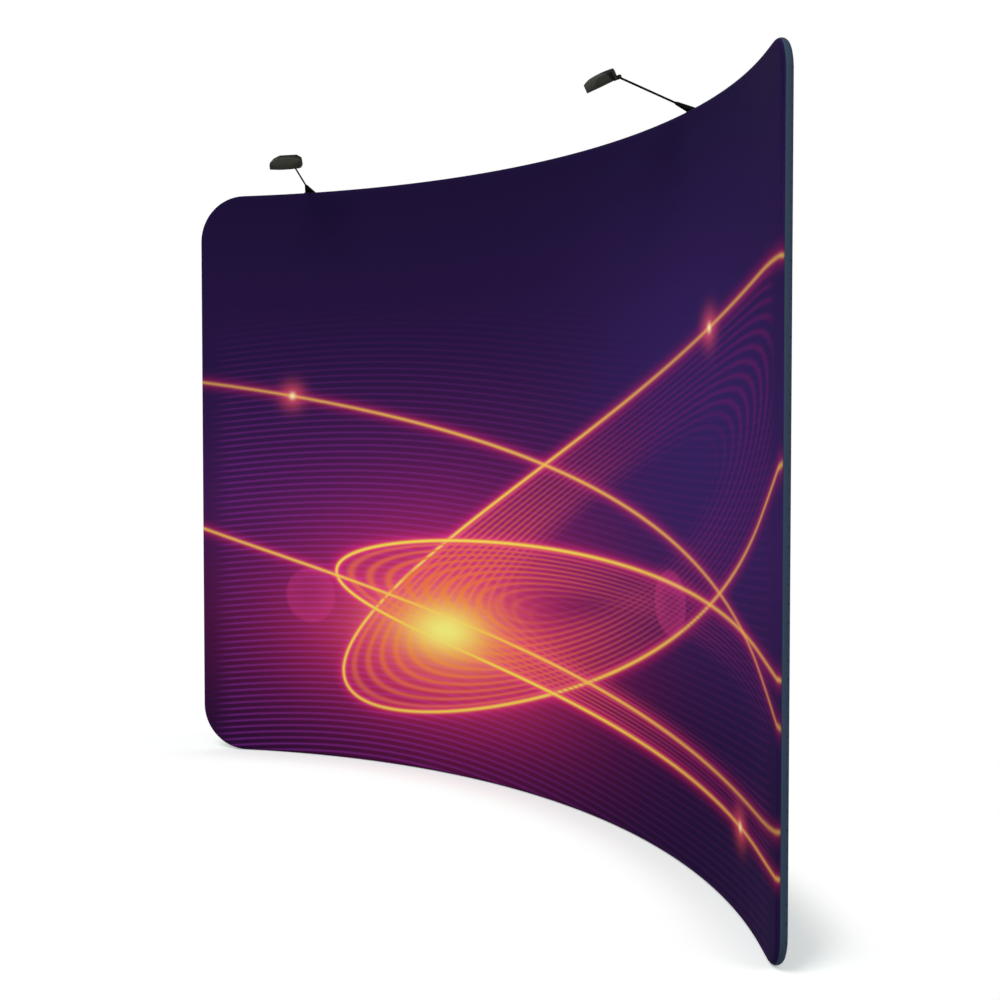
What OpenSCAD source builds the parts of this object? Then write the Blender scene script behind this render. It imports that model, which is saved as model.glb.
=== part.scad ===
// Curved exhibition backwall: a bent aluminium tube frame inside a zipped stretch
// fabric cover, with two arm spotlights on its top edge.
// Millimetres, +Z up. The hollow (printed) side faces -Y. The origin is on the floor
// under the middle of the whole, and the curve's centre is in front of the wall.

/* [Wall] */
// Width of the covered wall, straight across its two ends
wall_w = 3000; // [2600:10:3400]
// Height of the covered wall
wall_h = 2300; // [2000:10:2600]
// Bend radius of the curved rails, at the tube's centre line
rail_r = 2150; // [1950:10:3500]
// Reach of the corner elbows along the rail and along the upright, which is also the bend
// radius of the two left-hand ones, at the tube's centre line
corner_r = 170; // [130:5:220]
// Bend radius of the two right-hand elbows, which have straight legs up to the same reach
right_corner_r = 85; // [50:5:130]

/* [Tubes] */
// Outside diameter of the frame tube
tube_od = 30; // [28:0.5:34]
// Wall of the frame tube
tube_wall = 1.5; // [1.2:0.1:2]
// Outside diameter of the two inner posts
post_od = 25; // [22:0.5:27]
// Wall of the spigots inside the tube joints
spigot_wall = 1.5; // [1:0.1:2]
// Length of a spigot on each side of its joint
spigot_l = 60; // [50:1:90]
// Radial play between a spigot and the tube around it
spigot_gap = 0.1; // [0.05:0.01:0.2]
// Diameter of the plain plugs in the ends of the elbows
plug_d = 25.4; // [24:0.1:25.6]
// Length of a plug inside the rail or upright
plug_l = 40; // [20:1:45]
// Length of a plug inside the elbow
plug_root = 12; // [8:1:14]
// Distance of each post from the nearest rail joint, towards the middle
post_in = 140; // [110:5:250]

/* [Snap buttons] */
// Diameter of a snap button
button_d = 6; // [4:0.5:8]
// How far a button stands out of its tube
button_proud = 3; // [2:0.5:4]
// Distance of a button from its tube joint
button_in = 35; // [30:1:38]
// Radial clearance of a button in its holes
button_gap = 0.08; // [0.05:0.01:0.1]
// Width of the leaf that carries a button
leaf_w = 7; // [6:0.5:10]
// Length of the leaf
leaf_l = 26; // [20:1:34]
// Thickness of the leaf
leaf_t = 0.8; // [0.6:0.1:1.2]

/* [Cover] */
// Thickness of the stretch fabric
cover_t = 0.8; // [0.6:0.1:1.2]
// Clearance between the fabric and the tube
cover_gap = 0.3; // [0.2:0.05:0.6]
// Height of the zip's middle above the floor
zip_z = 70; // [50:5:150]
// Distance of the zip's ends from the ends of the curve
zip_in = 60; // [40:5:200]
// Width of the zip's two tapes together
zip_tape_w = 30; // [24:1:40]
// Thickness of the tape
zip_tape_t = 0.6; // [0.4:0.1:1]
// Width of the closed coil
zip_coil_w = 6; // [4:0.5:8]
// Thickness of the closed coil
zip_coil_t = 1.6; // [1.2:0.1:2.4]
// Length of the slider
slider_l = 16; // [12:1:22]
// Thickness of the slider's cover plate
slider_t = 1.4; // [1:0.1:2]
// Length of the pull tab from its pin
pull_l = 34; // [25:1:50]
// Width of the pull tab
pull_w = 9; // [8:0.5:11]
// Thickness of the pull tab
pull_t = 1.8; // [1.2:0.1:2.4]

/* [Spotlights] */
// Distance of the left light from the left end of the top rail
left_light_in = 288; // [150:5:500]
// Distance of the right light from the right-hand rail joint, outwards
right_light_out = 322; // [150:5:450]
// Turn of the left arm on its swivel
left_swivel = 9; // [-30:1:30]
// Turn of the right arm on its swivel
right_swivel = 0; // [-30:1:30]
// Downward tilt of the left head
left_tilt = 29; // [0:1:45]
// Downward tilt of the right head
right_tilt = 28; // [0:1:45]
// Twist of the left head with its rod, seen from the base
left_twist = 4; // [-10:1:10]
// Twist of the right head with its rod, seen from the base
right_twist = -5; // [-10:1:10]
// Rise of both arms from the level
arm_rise = 18; // [10:1:21]
// Length from the swivel to the head's pin
arm_l = 274; // [220:1:360]
// Diameter of the arm rod
rod_d = 6.5; // [5:0.5:9]
// Diameter of the lead inside the rod
lead_d = 2.6; // [2:0.1:3.2]
// Distance of the swivel behind the rail's centre line
swivel_back = 27; // [26:0.5:34]
// Height of the arm's mid plane at the swivel, above the rail's centre line
swivel_up = 14; // [13:0.5:18]

/* [Arm base] */
// Length of the tapered base in front of the swivel
base_front = 74; // [60:1:90]
// Length of the tapered base behind the swivel
base_rear = 16; // [15:1:22]
// Width of the base at its rear edge
base_w = 60; // [44:1:70]
// Width of the base at the rod
base_tip_w = 10; // [9.5:0.5:16]
// Height of the base
base_h = 8; // [6:0.5:9]
// Wall of the base
base_wall = 1.8; // [1.2:0.1:2.5]
// Diameter of the swivel bolt
bolt_d = 6; // [5:0.5:8]

/* [Bracket] */
// Width of the bracket along the rail
bracket_w = 36; // [30:1:50]
// Thickness of the bracket behind the covered rail, along the thumbscrew
bracket_t = 24; // [22:0.5:32]
// Slope of the thumbscrew down from the level
screw_dip = 20; // [14:1:24]
// Diameter of the thumbscrew's shank
screw_d = 6; // [5:0.5:8]
// Diameter of the thumbscrew's knob
knob_d = 20; // [16:1:26]

/* [Head] */
// Length of the head in front of its pin
head_l = 98; // [85:1:110]
// Width of the head
head_w = 122; // [100:1:130]
// Height of the hood above the plane of its pin
head_h = 34; // [28:1:38]
// Wall of the hood
hood_wall = 2.2; // [1.6:0.1:3]
// Diameter of the head's pin
pin_d = 4; // [3:0.5:5]
// Thickness of the glass
glass_t = 2; // [1.5:0.1:3]

/* [Power socket] */
// Bore of the power socket
socket_bore = 5.6; // [5:0.1:6.4]
// Outside diameter of the power socket
socket_d = 8; // [7.5:0.1:9]
// Depth of the power socket's bore
socket_depth = 9; // [8:0.5:10]

/* [Hidden] */
// Running clearance of pins and bolts in their bores, radial
run_gap = 0.06;
// Gap between hard parts that seat on each other
seat_gap = 0.1;
// Gap between parts of different bodies that face each other
free_gap = 0.3;
// How far a tool runs past the solid that it cuts
cut = 0.5;
// How far each half of a whole curve runs past its middle, in degrees
past_middle = 1;

// Tube radii
tube_or = tube_od / 2;
tube_ir = tube_or - tube_wall;
spigot_or = tube_ir - spigot_gap;
spigot_ir = spigot_or - spigot_wall;
post_ir = post_od / 2 - tube_wall;
post_spigot_or = post_ir - spigot_gap;
post_spigot_ir = post_spigot_or - spigot_wall;

// The cover's inner and outer radius round a tube
wrap_ir = tube_or + cover_gap;
wrap_or = wrap_ir + cover_t;

// Heights of the tube centre lines of the two rails
low_z = wrap_or;
high_z = wall_h - wrap_or;
mid_z = wall_h / 2;

// Half the curve's angle: the curve, then a straight end as long as the corner's radius
half_chord = wall_w / 2 - wrap_or;
end_angle = asin(half_chord / norm([rail_r, corner_r])) - atan(corner_r / rail_r);
joint_angle = end_angle / 3;
post_angle = joint_angle - arc_deg(post_in);

// Depth of the curve, and the place of its centre that puts the whole over the origin
curve_depth = rail_r * (1 - cos(end_angle)) + corner_r * sin(end_angle);
arc_y = curve_depth / 2 - rail_r;

// Angles and settings of the two lights
left_angle = arc_deg(left_light_in) - end_angle;
right_angle = joint_angle + arc_deg(right_light_out);
zip_angle = end_angle - arc_deg(zip_in);
light_angles = [left_angle, right_angle];

$fn = 64;
arc_fn = 180;

// ---- Places -------------------------------------------------------------------------

// Angle of a length along the curved centre line
function arc_deg(length) = length / rail_r * 180 / PI;

// A place on the curved centre line: X along the rail to the right, Y to the back
module at_angle(a) {
    translate([0, arc_y, 0]) rotate([0, 0, -a]) translate([0, rail_r, 0]) children();
}

// Sweeps a section round the curve; its X is the offset to the back, its Y the height
module sweep(from, to) {
    translate([0, arc_y, 0]) rotate([0, 0, 90 - to])
        rotate_extrude(angle = to - from, $fn = arc_fn) translate([rail_r, 0]) children();
}

// Sweeps a section round the whole curve, as two halves that start at its ends
module sweep_whole(half_angle) {
    for (m = [0, 1]) mirror([m, 0, 0]) sweep(-past_middle, half_angle) children();
}

// The bend radius of the elbows at one side
function bend_r(side) = side > 0 ? right_corner_r : corner_r;

// The start of a corner: X along the wall to its outside, Z away from its middle height
module at_corner(side, top) {
    at_angle(side * end_angle) translate([0, 0, top ? high_z : low_z])
        mirror([side > 0 ? 0 : 1, 0, 0]) mirror([0, 0, top ? 0 : 1]) children();
}

// Sweeps a section round a corner's bend and along the straight legs on both sides of it;
// the section's X is the offset to the outside of the wall
module corner_sweep(side, top) {
    r = bend_r(side);
    leg = corner_r - r;
    at_corner(side, top) {
        translate([leg, 0, -r]) rotate([90, 0, 0])
            rotate_extrude(angle = 90, $fn = 96) translate([r, 0]) children();
        if (leg > 0) {
            translate([leg, 0, 0]) rotate([0, -90, 0]) linear_extrude(leg) children();
            translate([corner_r, 0, -corner_r]) linear_extrude(leg) children();
        }
    }
}

// The centre line of an upright
module at_upright(side) {
    at_angle(side * end_angle) translate([side * corner_r, 0, 0]) children();
}

// ---- Tubes --------------------------------------------------------------------------

module ring(outer, inner) {
    difference() {
        circle(r = outer);
        circle(r = inner);
    }
}

module pipe(outer, inner, h) {
    difference() {
        cylinder(r = outer, h = h);
        translate([0, 0, -cut]) cylinder(r = inner, h = h + 2 * cut);
    }
}

// The holes for the snap buttons of one rail; up is the side on which the button stands
module rail_button(side, z, up) {
    at_angle(side * (joint_angle + arc_deg(button_in))) translate([0, 0, z])
        rotate([up > 0 ? 0 : 180, 0, 0]) children();
}

// The place of an upright's or post's snap button, standing towards the wall's middle
module upright_button(side) {
    at_upright(side) translate([0, 0, mid_z + button_in]) rotate([0, -side * 90, 0])
        children();
}

module post_button(side) {
    at_angle(side * post_angle) translate([0, 0, mid_z + button_in])
        rotate([0, -side * 90, 0]) children();
}

module button_hole() {
    cylinder(r = button_d / 2 + button_gap, h = tube_or + cut);
}

// A bent rail: part -1 is the left one, 0 the middle one and 1 the right one
module rail(part, z, up) {
    from = part < 0 ? -end_angle : part > 0 ? joint_angle : -joint_angle;
    to = part < 0 ? -joint_angle : part > 0 ? end_angle : joint_angle;
    difference() {
        sweep(from, to) translate([0, z]) ring(tube_or, tube_ir);
        if (part != 0) rail_button(part, z, up) button_hole();
        if (part != 0 && up < 0) bracket_screw(part < 0 ? left_angle : right_angle, nut_r);
    }
}

module elbow(side, top) {
    corner_sweep(side, top) ring(tube_or, tube_ir);
}

module upright(side, upper) {
    z0 = upper ? mid_z : low_z + corner_r;
    z1 = upper ? high_z - corner_r : mid_z;
    difference() {
        at_upright(side) translate([0, 0, z0]) pipe(tube_or, tube_ir, z1 - z0);
        if (upper) upright_button(side) button_hole();
    }
}

// Saddles: a cap on each end of a post, cupped round the rail
saddle_h = 22;
saddle_plug = 30;
saddle_cup = 6;

module post(side, upper) {
    z0 = upper ? mid_z : low_z + tube_or - saddle_cup + saddle_h;
    z1 = upper ? high_z - tube_or + saddle_cup - saddle_h : mid_z;
    difference() {
        at_angle(side * post_angle) translate([0, 0, z0]) pipe(post_od / 2, post_ir, z1 - z0);
        if (upper) post_button(side) button_hole();
    }
}

module saddle() {
    difference() {
        union() {
            cylinder(d = post_od, h = saddle_h);
            cylinder(r = post_ir - seat_gap, h = saddle_h + saddle_plug);
        }
        translate([0, 0, saddle_cup - tube_or]) rotate([0, 90, 0])
            cylinder(r = tube_or + seat_gap, h = 2 * post_od, center = true);
    }
}

module post_saddles() {
    color("dimgray") for (side = [-1, 1]) at_angle(side * post_angle) {
        translate([0, 0, low_z + tube_or - saddle_cup]) saddle();
        translate([0, 0, high_z - tube_or + saddle_cup]) mirror([0, 0, 1]) saddle();
    }
}

// Spigots in the joints of the rails, uprights and posts, and plugs in the elbows
module tube_spigots() {
    spigot_angle = arc_deg(spigot_l);
    color("silver") {
        for (side = [-1, 1]) {
            for (rail = [[low_z, 1], [high_z, -1]]) difference() {
                sweep(side * joint_angle - spigot_angle, side * joint_angle + spigot_angle)
                    translate([0, rail[0]]) ring(spigot_or, spigot_ir);
                rail_button(side, rail[0], rail[1]) button_hole();
            }
            difference() {
                at_upright(side) translate([0, 0, mid_z - spigot_l])
                    pipe(spigot_or, spigot_ir, 2 * spigot_l);
                upright_button(side) button_hole();
            }
            difference() {
                at_angle(side * post_angle) translate([0, 0, mid_z - spigot_l])
                    pipe(post_spigot_or, post_spigot_ir, 2 * spigot_l);
                post_button(side) button_hole();
            }
            for (top = [false, true]) {
                at_upright(side)
                    translate([0, 0, top ? high_z - corner_r - plug_l : low_z + corner_r - plug_root])
                    cylinder(d = plug_d, h = plug_l + plug_root);
                at_angle(side * end_angle)
                    translate([side * (plug_root - plug_l) / 2, 0, top ? high_z : low_z])
                    rotate([0, 90, 0]) cylinder(d = plug_d, h = plug_l + plug_root, center = true);
            }
        }
    }
}

// A snap button on its leaf, standing along +Z from the tube's centre line
module snap_button(bore_r, outer_r) {
    seat = sqrt(bore_r * bore_r - leaf_w * leaf_w / 4) - seat_gap;
    tip = 1;
    color("gainsboro") {
        translate([-leaf_l / 2, -leaf_w / 2, seat - leaf_t]) cube([leaf_l, leaf_w, leaf_t]);
        translate([0, 0, seat - leaf_t / 2])
            cylinder(d = button_d, h = outer_r + button_proud - tip - seat + leaf_t / 2);
        translate([0, 0, outer_r + button_proud - tip])
            cylinder(d1 = button_d, d2 = button_d - 2 * tip, h = tip);
    }
}

// ---- Cover --------------------------------------------------------------------------

// The half ring that the fabric makes round the outside of a tube
module half_wrap(turn) {
    rotate([0, 0, turn]) intersection() {
        ring(wrap_or, wrap_ir);
        translate([0, -wrap_or - cut]) square([wrap_or + cut, 2 * (wrap_or + cut)]);
    }
}

// Outline of a panel's straight end: from the curve to the middle of the upright
function round_end(r, n = 24) =
    let (leg = corner_r - r)
    concat(
        leg > 0 ? [[0, low_z]] : [],
        [for (i = [0:n]) [leg + r * sin(90 * i / n), low_z + r - r * cos(90 * i / n)]],
        [for (i = [0:n]) [leg + r * cos(90 * i / n), high_z - r + r * sin(90 * i / n)]],
        leg > 0 ? [[0, high_z]] : []
    );

// A stretched panel, set off by the given distance from the tubes' middle
module panel(offset_y) {
    sweep_whole(end_angle) translate([offset_y, low_z]) square([cover_t, high_z - low_z]);
    for (side = [-1, 1]) mirror([side > 0 ? 0 : 1, 0, 0]) at_angle(end_angle)
        translate([0, offset_y + cover_t, 0]) rotate([90, 0, 0]) linear_extrude(cover_t)
            polygon(round_end(bend_r(side)));
}

module front_panel() {
    color([0.11, 0.07, 0.2]) panel(-wrap_or);
}

module back_panel() {
    color([0.16, 0.19, 0.24]) difference() {
        panel(wrap_ir);
        for (a = light_angles) bracket_screw(a, screw_d / 2 + free_gap);
    }
}

module edge_band_long(top) {
    color([0.21, 0.26, 0.34]) sweep_whole(end_angle)
        translate([0, top ? high_z : low_z]) half_wrap(top ? 90 : -90);
}

module edge_band_side(side) {
    color([0.21, 0.26, 0.34]) {
        for (top = [false, true]) corner_sweep(side, top) half_wrap(0);
        at_upright(side) translate([0, 0, low_z + corner_r])
            linear_extrude(high_z - low_z - 2 * corner_r) half_wrap(side > 0 ? 0 : 180);
    }
}

// Radial offsets of the zip's layers behind the back panel
tape_in = wrap_or + seat_gap / 2;
coil_in = tape_in + zip_tape_t + seat_gap / 2;
coil_out = coil_in + zip_coil_t;
plate_in = coil_out + free_gap / 2;

module zip_tape() {
    color("black") sweep(-zip_angle, zip_angle)
        translate([tape_in, zip_z - zip_tape_w / 2]) square([zip_tape_t, zip_tape_w]);
}

// The coil, with a metal stop crimped round each of its ends
module zip_coil() {
    half_stop = arc_deg(stop_l / 2);
    crimp = 1;
    color("dimgray") {
        sweep(-zip_angle, zip_angle) translate([coil_in, zip_z - zip_coil_w / 2])
            square([zip_coil_t, zip_coil_w]);
        for (side = [-1, 1], at = side * (zip_angle - half_stop)) sweep(at - half_stop, at + half_stop)
            translate([coil_in, zip_z - zip_coil_w / 2 - crimp])
                square([zip_coil_t + crimp, zip_coil_w + 2 * crimp]);
    }
}

// The slider stands against the right-hand stop, as seen from the printed side
stop_l = 8;
slider_angle = zip_angle - arc_deg(stop_l + 4 + slider_l / 2);
ear_w = 1.5;
slider_w = pull_w + 2 * (ear_w + free_gap);
slider_pin_d = 1.4;
pin_y = plate_in + slider_t + free_gap + pull_t / 2;

module zip_slider() {
    side_h = (slider_w - zip_coil_w) / 2 - free_gap;
    color("dimgray") at_angle(slider_angle) translate([0, 0, zip_z]) {
        translate([-slider_l / 2, plate_in, -slider_w / 2]) cube([slider_l, slider_t, slider_w]);
        for (m = [0, 1]) mirror([0, 0, m])
            translate([-slider_l / 2, coil_in + free_gap / 2, zip_coil_w / 2 + free_gap])
                cube([slider_l, plate_in + cut - coil_in - free_gap / 2, side_h]);
        for (z = [-slider_w / 2, slider_w / 2 - ear_w])
            translate([-2, plate_in + slider_t - cut, z])
                cube([4, cut + pull_t + 2 * free_gap, ear_w]);
        translate([0, pin_y, -slider_w / 2]) cylinder(d = slider_pin_d, h = slider_w);
    }
}

// The pull tab lies along the zip on the slider's pin
module zip_pull() {
    finger_hole = 4;
    color("silver") at_angle(slider_angle) translate([0, pin_y, zip_z]) difference() {
        union() {
            translate([-pull_l, -pull_t / 2, -pull_w / 2]) cube([pull_l, pull_t, pull_w]);
            cylinder(d = pull_t + cut, h = pull_w, center = true);
        }
        cylinder(r = slider_pin_d / 2 + run_gap, h = slider_w, center = true);
        translate([finger_hole * 1.5 - pull_l, 0, 0]) rotate([90, 0, 0])
            cylinder(d = finger_hole, h = pull_t + 2 * cut, center = true);
    }
}

// ---- Spotlights ---------------------------------------------------------------------

nut_wall = 1.5;
nut_r = screw_d / 2 + nut_wall;
nut_l = 12;
nut_flange = 1;
nut_flange_r = nut_r + nut_flange;
screw_seat = wrap_or + bracket_t;

// The place of a light on the top rail: X towards the front, Z up, at the rail's middle
module at_light(angle) {
    at_angle(angle) translate([0, 0, high_z]) rotate([0, 0, -90]) children();
}

// The line of a bracket's screw: Z from the rail's middle out to the knob at the back
module at_screw(angle) {
    at_light(angle) rotate([0, -90 - screw_dip, 0]) children();
}

module bracket_screw(angle, r) {
    at_screw(angle) cylinder(r = r, h = screw_seat + cut);
}

module rivet_nuts() {
    nut_top = sqrt(tube_or * tube_or - nut_r * nut_r) - seat_gap;
    flange_top = sqrt(tube_ir * tube_ir - nut_flange_r * nut_flange_r) - seat_gap;
    color("darkgray") for (a = light_angles) at_screw(a) difference() {
        union() {
            translate([0, 0, nut_top - nut_l]) cylinder(r = nut_r - run_gap, h = nut_l);
            translate([0, 0, flange_top - nut_flange]) cylinder(r = nut_flange_r, h = nut_flange);
        }
        translate([0, 0, nut_top - nut_l - cut])
            cylinder(r = screw_d / 2 + run_gap, h = nut_l + 2 * cut);
    }
}

knob_h = 9;

module thumbscrew(angle) {
    shank_end = 5;
    flute_r = 1.7;
    flutes = 12;
    color("black") at_screw(angle) {
        translate([0, 0, shank_end]) cylinder(d = screw_d, h = screw_seat + cut - shank_end);
        translate([0, 0, screw_seat + free_gap]) difference() {
            cylinder(d = knob_d, h = knob_h);
            for (i = [1:flutes]) rotate([0, 0, i * 360 / flutes])
                translate([knob_d / 2 + flute_r / 2, 0, -cut])
                cylinder(r = flute_r, h = knob_h + 2 * cut, $fn = 24);
        }
    }
}

// The swivel's own frame: Z along the swivel, X along the arm, at the base's mid plane
module at_swivel(angle, turn) {
    at_light(angle) translate([-swivel_back, 0, swivel_up]) rotate([0, -arm_rise, 0])
        rotate([0, 0, turn]) children();
}

// Bracket: a saddle behind and over the rail, with a sloping seat for the arm above and
// a seat for the thumbscrew's knob behind
bolt_hold = 10;
seat_half = knob_d / 2 + 1;

function along_screw(out, down) = [
    -out * cos(screw_dip) + down * sin(screw_dip),
    -out * sin(screw_dip) - down * cos(screw_dip)
];

// Height of the bracket's top, under the arm base, at a distance in front of the rail
function arm_seat(x) = swivel_up + (swivel_back + x) * tan(arm_rise)
    - (base_h / 2 + free_gap) / cos(arm_rise);

module bracket(angle) {
    lip = 2;
    front = -wrap_or - free_gap;
    knob_top = along_screw(screw_seat, -seat_half);
    knob_foot = along_screw(screw_seat, seat_half);
    color([0.06, 0.06, 0.065]) difference() {
        at_light(angle) rotate([90, 0, 0]) linear_extrude(bracket_w, center = true) difference() {
            polygon([
                [front, knob_foot[1] - 2],
                [front, 0],
                [0, 0],
                [lip, wrap_or],
                [lip, arm_seat(lip)],
                [knob_top[0], arm_seat(knob_top[0])],
                knob_top,
                knob_foot,
                [knob_foot[0] + 3, knob_foot[1] - 2]
            ]);
            circle(r = wrap_or + free_gap);
        }
        bracket_screw(angle, screw_d / 2 + run_gap);
        at_swivel(angle, 0) translate([0, 0, -base_h / 2 - bolt_hold])
            cylinder(r = bolt_d / 2 + run_gap, h = bolt_hold + base_h);
    }
}

// Swivel bolt: its head's height, its hexagonal recess and its end above the bore's floor
bolt_head_h = 3.4;
bolt_recess = 1.8;
bolt_end = 1;

module swivel_bolts() {
    color("dimgray") for (a = light_angles) at_swivel(a, 0) {
        translate([0, 0, bolt_end - base_h / 2 - bolt_hold])
            cylinder(d = bolt_d, h = bolt_hold + base_h + free_gap);
        translate([0, 0, base_h / 2 + free_gap]) difference() {
            cylinder(d = 2.4 * bolt_d, h = bolt_head_h);
            translate([0, 0, bolt_head_h - bolt_recess])
                cylinder(d = bolt_d / cos(30), h = bolt_recess + cut, $fn = 6);
        }
    }
}

// Arm base: a tapered tray, hollow underneath, with the swivel's boss and the rod's socket
module base_outline(inset) {
    polygon([
        [-base_rear + inset, base_w / 2 - inset],
        [-base_rear + inset, -base_w / 2 + inset],
        [base_front - inset, -base_tip_w / 2 + inset],
        [base_front - inset, base_tip_w / 2 - inset]
    ]);
}

rod_in = 14;
socket_y = 13;
socket_len = socket_depth + 2;
boss_l = 16;
boss_h = socket_d + 2.6;
boss_end = -base_rear - boss_l + base_wall;
boss_front = boss_end + boss_l;
socket_in = boss_end + socket_len;
socket_z = boss_h / 2 - base_h / 2;
lead_hole = lead_d + 2 * free_gap;

module arm_base(angle, turn) {
    color([0.05, 0.05, 0.055]) at_swivel(angle, turn) difference() {
        union() {
            difference() {
                translate([0, 0, -base_h / 2]) linear_extrude(base_h) base_outline(0);
                translate([0, 0, -base_h / 2 - cut]) linear_extrude(base_h - base_wall + cut)
                    base_outline(base_wall);
            }
            translate([0, 0, -base_h / 2]) cylinder(r = bolt_d / 2 + 4, h = base_h - cut);
            translate([base_front - rod_in - base_wall, 0, 0]) rotate([0, 90, 0])
                cylinder(d = base_tip_w - 1, h = rod_in + base_wall + 4);
            translate([boss_end, socket_y - boss_h / 2, -base_h / 2])
                cube([boss_l, boss_h, boss_h]);
        }
        translate([0, 0, -base_h]) cylinder(r = bolt_d / 2 + run_gap, h = 2 * base_h);
        translate([base_front - rod_in, 0, 0]) rotate([0, 90, 0])
            cylinder(r = rod_d / 2 + run_gap, h = rod_in + 4 + cut);
        translate([base_front - rod_in - 2 * base_wall, 0, 0]) rotate([0, 90, 0])
            cylinder(d = lead_hole, h = rod_in);
        at_socket() translate([0, 0, -socket_len])
            cylinder(r = socket_d / 2 + run_gap, h = socket_len + cut);
        translate([socket_in - cut, socket_y - lead_hole / 2, -base_h / 2 - cut]) {
            cube([boss_front - 1 - socket_in + cut, lead_hole, cut + boss_h / 2 + lead_hole / 2]);
            cube([boss_front - socket_in + 2 * cut, lead_hole, cut + base_h - base_wall]);
        }
    }
}

// The mouth of the power socket: Z points out of it, to the back
module at_socket() {
    translate([boss_end, socket_y, socket_z]) rotate([0, -90, 0]) children();
}

module power_socket(angle, turn) {
    color("dimgray") at_swivel(angle, turn) at_socket() difference() {
        translate([0, 0, -socket_len]) cylinder(d = socket_d, h = socket_len);
        translate([0, 0, -socket_depth]) cylinder(d = socket_bore, h = socket_depth + cut);
    }
}

// Arm rod: a thin tube with a flat eye for the head's pin
eye_w = 9;
eye_r = 6.5;

module arm_rod(angle, turn, twist) {
    color([0.05, 0.05, 0.055]) at_swivel(angle, turn) rotate([twist, 0, 0]) difference() {
        union() {
            translate([base_front - rod_in, 0, 0]) rotate([0, 90, 0])
                cylinder(d = rod_d, h = arm_l - base_front + rod_in - eye_r / 2);
            translate([arm_l, 0, 0]) rotate([90, 0, 0]) cylinder(r = eye_r, h = eye_w, center = true);
        }
        translate([base_front - rod_in - cut, 0, 0]) rotate([0, 90, 0])
            cylinder(d = lead_hole, h = arm_l - base_front + rod_in - eye_r - 1);
        translate([arm_l, 0, 0]) rotate([90, 0, 0])
            cylinder(r = pin_d / 2 + run_gap, h = eye_w + cut, center = true);
    }
}

// The lead from the power socket through the arm, as one swept tube
lead_path = [
    [socket_in + seat_gap, socket_y, socket_z],
    [socket_in + 1, socket_y, socket_z],
    [boss_front - 1.5, socket_y, -0.4],
    [-4, socket_y, -0.6],
    [8, socket_y - 2, -0.6],
    [28, 6, -0.4],
    [base_front - rod_in - 10, 0.5, 0],
    [base_front - rod_in, 0, 0],
    [arm_l - eye_r - 6, 0, 0]
];

function unit(v) = v / norm(v);
function heading(p, i) = unit(p[min(i + 1, len(p) - 1)] - p[max(i - 1, 0)]);
function ring_points(p, i, r, sides) =
    let (t = heading(p, i), a = unit(cross(t, [0, 0, 1])), b = cross(a, t))
    [for (k = [0:sides - 1]) p[i] + r * (a * cos(360 * k / sides) + b * sin(360 * k / sides))];

module swept_lead(p, r, sides = 8) {
    n = len(p);
    points = [for (i = [0:n - 1]) each ring_points(p, i, r, sides)];
    walls = [for (i = [0:n - 2]) for (k = [0:sides - 1]) each [
        [i * sides + k, i * sides + (k + 1) % sides, (i + 1) * sides + k],
        [i * sides + (k + 1) % sides, (i + 1) * sides + (k + 1) % sides, (i + 1) * sides + k]
    ]];
    ends = [
        [for (k = [sides - 1:-1:0]) k],
        [for (k = [0:sides - 1]) (n - 1) * sides + k]
    ];
    polyhedron(points, concat(walls, ends));
}

module arm_lead(angle, turn) {
    color("gray") at_swivel(angle, turn) swept_lead(lead_path, lead_d / 2);
}

// The head's own frame: at its pin, X along the head, Z up out of the hood
module at_head(angle, turn, tilt, twist) {
    at_swivel(angle, turn) rotate([twist, 0, 0]) translate([arm_l, 0, 0])
        rotate([0, arm_rise + tilt, 0]) children();
}

// The hood's form: radii of its crown, back and nose from the side with the places of their
// centres, radii of its front edge from above and of its crown from the front, and shoulders
hood_rear = 13;
rim_z = -glass_t - 1;
crown_r = 141;
crown_in = 3;
back_r = 46;
back_in = 4;
back_up = 12;
nose_r = 50;
nose_out = 1.5;
nose_z = -10;
front_r = 170;
arch_r = 160;
rear_half = 22;
shoulder_x = [38, 62];
shoulder_in = 4;
chamfer_w = 8;
chamfer_z = 10;

// Outlines of the hood from the side, the front and above, drawn in by the given inset
module hood_side(inset) {
    intersection() {
        translate([hood_rear + inset, rim_z - inset])
            square([head_l - hood_rear - 2 * inset, head_h - rim_z]);
        translate([head_l / 2 + crown_in, head_h - crown_r]) circle(r = crown_r - inset, $fn = 180);
        translate([head_l / 2 + back_in, head_h + back_up - back_r]) circle(r = back_r - inset, $fn = 96);
        translate([head_l + nose_out - nose_r, nose_z]) circle(r = nose_r - inset, $fn = 96);
    }
}

module hood_front(inset) {
    half = head_w / 2 - inset;
    intersection() {
        polygon([
            [-half, rim_z - inset], [half, rim_z - inset], [half, chamfer_z],
            [half - chamfer_w, head_h], [chamfer_w - half, head_h], [-half, chamfer_z]
        ]);
        translate([0, head_h - arch_r]) circle(r = arch_r - inset, $fn = 180);
    }
}

module hood_plan(inset) {
    half = head_w / 2 - inset;
    intersection() {
        polygon([
            [hood_rear + inset, inset - rear_half], [hood_rear + inset, rear_half - inset],
            [shoulder_x[0] + inset / 2, half - shoulder_in], [shoulder_x[1], half],
            [head_l, half], [head_l, -half],
            [shoulder_x[1], -half], [shoulder_x[0] + inset / 2, shoulder_in - half]
        ]);
        translate([head_l - front_r, 0]) circle(r = front_r - inset, $fn = 180);
    }
}

module hood_form(inset) {
    intersection() {
        rotate([90, 0, 0]) linear_extrude(head_w, center = true) hood_side(inset);
        rotate([90, 0, 90]) linear_extrude(head_l) hood_front(inset);
        translate([0, 0, rim_z - 1]) linear_extrude(head_h - rim_z + 2) hood_plan(inset);
    }
}

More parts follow.
